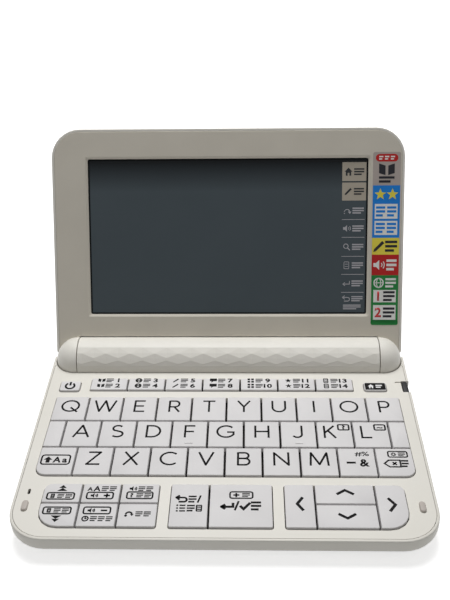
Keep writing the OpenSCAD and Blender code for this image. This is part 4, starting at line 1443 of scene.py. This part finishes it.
@dataclass
class Display:
    """The touch column on the screen and the colour strip on the bezel, drawn with the lid shut."""

    palette: Palette
    body: str = "lid"
    glass_height: float = 2.1
    bezel_height: float = 1.1
    strip_middle: float = 65.7
    grain: float = 0.000001

    def _lid_place(self, height: float) -> Matrix:
        """Gives the place of marks seen on the lid's inner face.

        Args:
            height: Height of the face over the hinge axis with the lid shut.

        Returns:
            The matrix from marks drawn as (X, distance from the axis) to the model.
        """
        face = Matrix(((1, 0, 0, 0), (0, -1, 0, 0), (0, 0, -1, height), (0, 0, 0, 1)))
        return TO_LID @ Matrix.Scale(MM, 4) @ face

    def touch_column(self) -> None:
        """Prints the column of plain signs at the right of the screen, and a dark frame of painted shadow along the
        glass's edge.
        """
        tones = (("touch_grey", "bdbcc1", "b7b6bb"), ("touch_box", "beb5a6", "b9b0a1"),
                 ("touch_dark", "33363a", "303337"))
        finishes = [Moulded(*tone, gloss=0.35, grain_height=self.grain) for tone in tones]
        # painted shadow: a near-black frame along the glass's edge, where the recessed glass meets the bezel
        finishes.append(Moulded("glass_edge_painted_shadow", "0b0c0d", "0e0f10", gloss=0.3, specular=0.2,
                                grain_height=self.grain))
        grey, box, dark, black = range(4)
        signs = {"jump": 62.3, "speaker": 54.9, "lens": 47.2, "page": 39.5, "enter": 31.9}
        ink = Print()
        ink.draw([
            # painted shadow: the dark frame along the glass's edge
            ("ink", black, 0.02), ("frame", 0.6, 0.3, -58.15, 19.05, 58.15, 83.85),
            ("ink", box, 0.02), ("slab", 0.2, 47.55, 74.45, 57.45, 82.2),
            ("slab", 0.2, 47.55, 66.45, 57.45, 73.85), ("ink", grey, 0.02),
            *(("bar", 0.22, 47.6, up, 57.0, up) for up in (58.6, 51.2, 43.25, 35.7, 28.1)),
            *(mark for sign, up in signs.items()
              for mark in ((sign, 49.7, up, 3.1, 0.3), ("rows", 54.3, up, 4.7, 2.5))),
            ("back", 49.7, 25.4, 3.1, 0.3), ("rows", 54.3, 25.4, 4.7, 2.2), ("rows", 52.2, 21.9, 7.4, 2.0),
            ("ink", dark, 0.03), ("house", 50.1, 78.3, 3.3, 0.3), ("rows", 54.5, 78.3, 4.2, 2.8),
            ("pencil", 50.1, 70.2, 3.4, 0.3), ("rows", 54.5, 70.2, 4.2, 2.8),
        ])
        inks = [self.palette.of(finish) for finish in finishes]
        settle(ink.mesh, "touch_column", self.body, inks, Slot.WINDOW, self._lid_place(self.glass_height))

    def colour_strip(self) -> None:
        """Builds the printed strip of plain colour bands at the right of the bezel."""
        tones = (("strip_silver", "bbb0aa", "b4a9a3"), ("strip_white", "f4f4f0", "eeeeea"),
                 ("strip_red", "c81c1c", "c01a1a"), ("strip_blue", "1288e6", "1082dd"),
                 ("strip_yellow", "f4e452", "eedd4a"), ("strip_green", "1e8a40", "1b843b"),
                 ("strip_ink", "2b2b33", "26262e"))
        inks = [self.palette.of(Moulded(*tone, gloss=0.35, coat=0.25, grain_height=2 * self.grain))
                for tone in tones]
        silver, white, red, blue, yellow, green, black = range(7)
        bands = ((51.0, 72.6, blue), (44.0, 51.0, yellow), (35.4, 44.0, red), (15.1, 35.4, green))
        boxes = ((58.9, 65.0), (52.2, 58.0), (24.0, 29.2), (16.6, 22.8))
        ink = Print()
        ink.draw([
            ("ink", silver, 0.06), ("slab", 0.8, -5.7, 14.35, 5.7, 86.2),
            *(mark for low, high, colour in bands
              for mark in (("ink", colour, 0.07), ("slab", 0, -5.6, low, 5.6, high))),
            ("slab", 0.8, -5.7, 14.35, 5.7, 16.5),
            ("ink", red, 0.08), ("slab", 1.5, -4.6, 82.3, 4.6, 85.4),
            ("ink", white, 0.08), *(("slab", 0, -4.7, low, 4.7, high) for low, high in boxes),
            ("ink", white, 0.095), *(("rows", across, 83.85, 1.7, 1.5, 2) for across in (-2.4, 0.0, 2.4)),
            ("speaker", -2.6, 39.7, 4.6, 0.5), ("rows", 2.6, 39.7, 4.2, 4.6),
            ("globe", -2.6, 32.2, 3.8, 0.5), ("rows", 2.4, 32.2, 4.4, 3.9),
            ("ink", yellow, 0.095), ("star", -2.5, 68.9, 5.0, 0.5), ("star", 2.5, 68.9, 5.0, 0.5),
            ("ink", black, 0.095), ("book", 0.0, 79.0, 6.2, 0.5), ("rows", 0.0, 75.0, 6.4, 2.6, 2),
            ("pencil", -2.7, 47.5, 5.2, 0.5), ("rows", 2.3, 47.5, 5.0, 4.6),
            ("rows", 1.8, 26.6, 4.8, 4.2), ("rows", 1.8, 19.7, 4.8, 4.2),
            ("ink", red, 0.095), ("text", "1", -2.7, 26.6, 4.0, 0.03), ("text", "2", -2.7, 19.7, 4.0, 0.03),
            ("ink", blue, 0.095),
            *(("rows", across, up, 3.8, 4.2) for up in (61.9, 55.1) for across in (-2.3, 2.3)),
        ], self.strip_middle)
        settle(ink.mesh, "colour_strip", self.body, inks, Slot.BEZEL, self._lid_place(self.bezel_height))

    def build(self) -> None:
        """Builds both sets of marks."""
        self.touch_column()
        self.colour_strip()


@dataclass(frozen=True)
class Studio:
    """A pale table under soft light, and the camera at the photograph's angle."""

    eye: tuple[float, float, float] = (0.008429, -0.250208, 0.222584)
    right: tuple[float, float, float] = (0.99960604, 0.02265843, -0.01656386)
    up: tuple[float, float, float] = (0.00117844, 0.55574847, 0.83134965)
    lens: float = 49.0
    sensor: float = 36.0
    near: float = 0.01
    far: float = 20.0
    table_size: float = 3.0
    key_power: float = 3.98
    world_level: float = 0.18
    table_tone: float = 0.85
    table_lift: float = 0.65
    far_lift: float = 0.35
    far_span: tuple[float, float] = (0.15, 0.6)
    lamp_place: tuple[float, float, float] = (-0.02, 0.24, 0.64)
    lamp_size: float = 0.35
    aim: tuple[float, float, float] = (0.0, 0.0, 0.03)

    def camera(self) -> None:
        """Places the camera."""
        data = bpy.data.cameras.new("camera")
        data.sensor_width = self.sensor
        data.lens = self.lens
        data.clip_start = self.near
        data.clip_end = self.far
        right, up = Vector(self.right), Vector(self.up)
        back = right.cross(up)
        held = show("camera", data)
        turn = Matrix((right, up, back)).transposed().to_4x4()
        held.matrix_world = Matrix.Translation(self.eye) @ turn
        bpy.context.scene.camera = held

    def table(self) -> None:
        """Lays the pale table, which keeps the object's shadow."""
        half = self.table_size / 2
        shape = rectangle((-half, -half), (half, half))
        mesh = bpy.data.meshes.new("table")
        shape.to_mesh(mesh)
        shape.free()
        made = bpy.data.materials.new("table_white")
        made.use_nodes = True
        w = Wiring(made.node_tree)
        shader = made.node_tree.nodes["Principled BSDF"]
        put(shader, {"Base Color": (*[self.table_tone] * 3, 1.0), "Roughness": 0.9,
                     "Specular IOR Level": 0.1, "Emission Color": WHITE})
        rays = w.add("ShaderNodeLightPath")
        seen = w.math("MAXIMUM", rays.outputs["Is Camera Ray"],
                      w.math("MAXIMUM", rays.outputs["Is Glossy Ray"], rays.outputs["Is Transmission Ray"]))
        away = w.add("ShaderNodeVectorMath", operation="LENGTH")
        w.join(w.place(), away.inputs[0])
        far = w.math("MULTIPLY", w.span(away.outputs["Value"], *self.far_span), self.far_lift)
        glow = w.math("MULTIPLY", seen, w.math("ADD", far, self.table_lift))
        w.join(glow, shader.inputs["Emission Strength"])
        mesh.materials.append(made)
        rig.stage(show("table", mesh))

    def surroundings(self) -> None:
        """Sets the white surroundings, brighter to the camera than they light."""
        world = bpy.data.worlds.new("studio")
        bpy.context.scene.world = world
        world.use_nodes = True
        w = Wiring(world.node_tree)
        back = world.node_tree.nodes["Background"]
        back.inputs["Color"].default_value = WHITE
        rays = w.add("ShaderNodeLightPath")
        w.join(w.math("MAXIMUM", rays.outputs["Is Camera Ray"], self.world_level), back.inputs["Strength"])

    def lamp(self) -> None:
        """Hangs one square soft box that faces the object."""
        data = bpy.data.lights.new("overhead", "AREA")
        data.size = self.lamp_size
        data.energy = self.key_power
        held = show("overhead", data)
        aim = (Vector(self.aim) - Vector(self.lamp_place)).to_track_quat("-Z", "Y").to_matrix().to_4x4()
        held.matrix_world = Matrix.Translation(self.lamp_place) @ aim

    def build(self) -> None:
        """Sets up the whole studio."""
        self.camera()
        self.table()
        self.surroundings()
        self.lamp()


def write_size(packed: tuple[Vector, Vector]) -> None:
    """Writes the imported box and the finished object's box.

    Args:
        packed: The box straight after loading.
    """
    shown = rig.bounds()
    with open("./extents.json", "w") as out:
        json.dump({"cad": [list(c) for c in packed], "visual": [list(c) for c in shown]}, out)


def main() -> None:
    """Builds the object's looks and the studio."""
    logging.basicConfig(level=logging.INFO, format="%(message)s")
    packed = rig.bounds()
    palette = Palette()
    palette.dress_nodes()
    Shells(palette).build()
    KeyField(palette).build()
    Display(palette).build()
    Studio().build()
    bpy.context.scene.view_settings.view_transform = "Standard"
    write_size(packed)


if __name__ == "__main__":
    main()
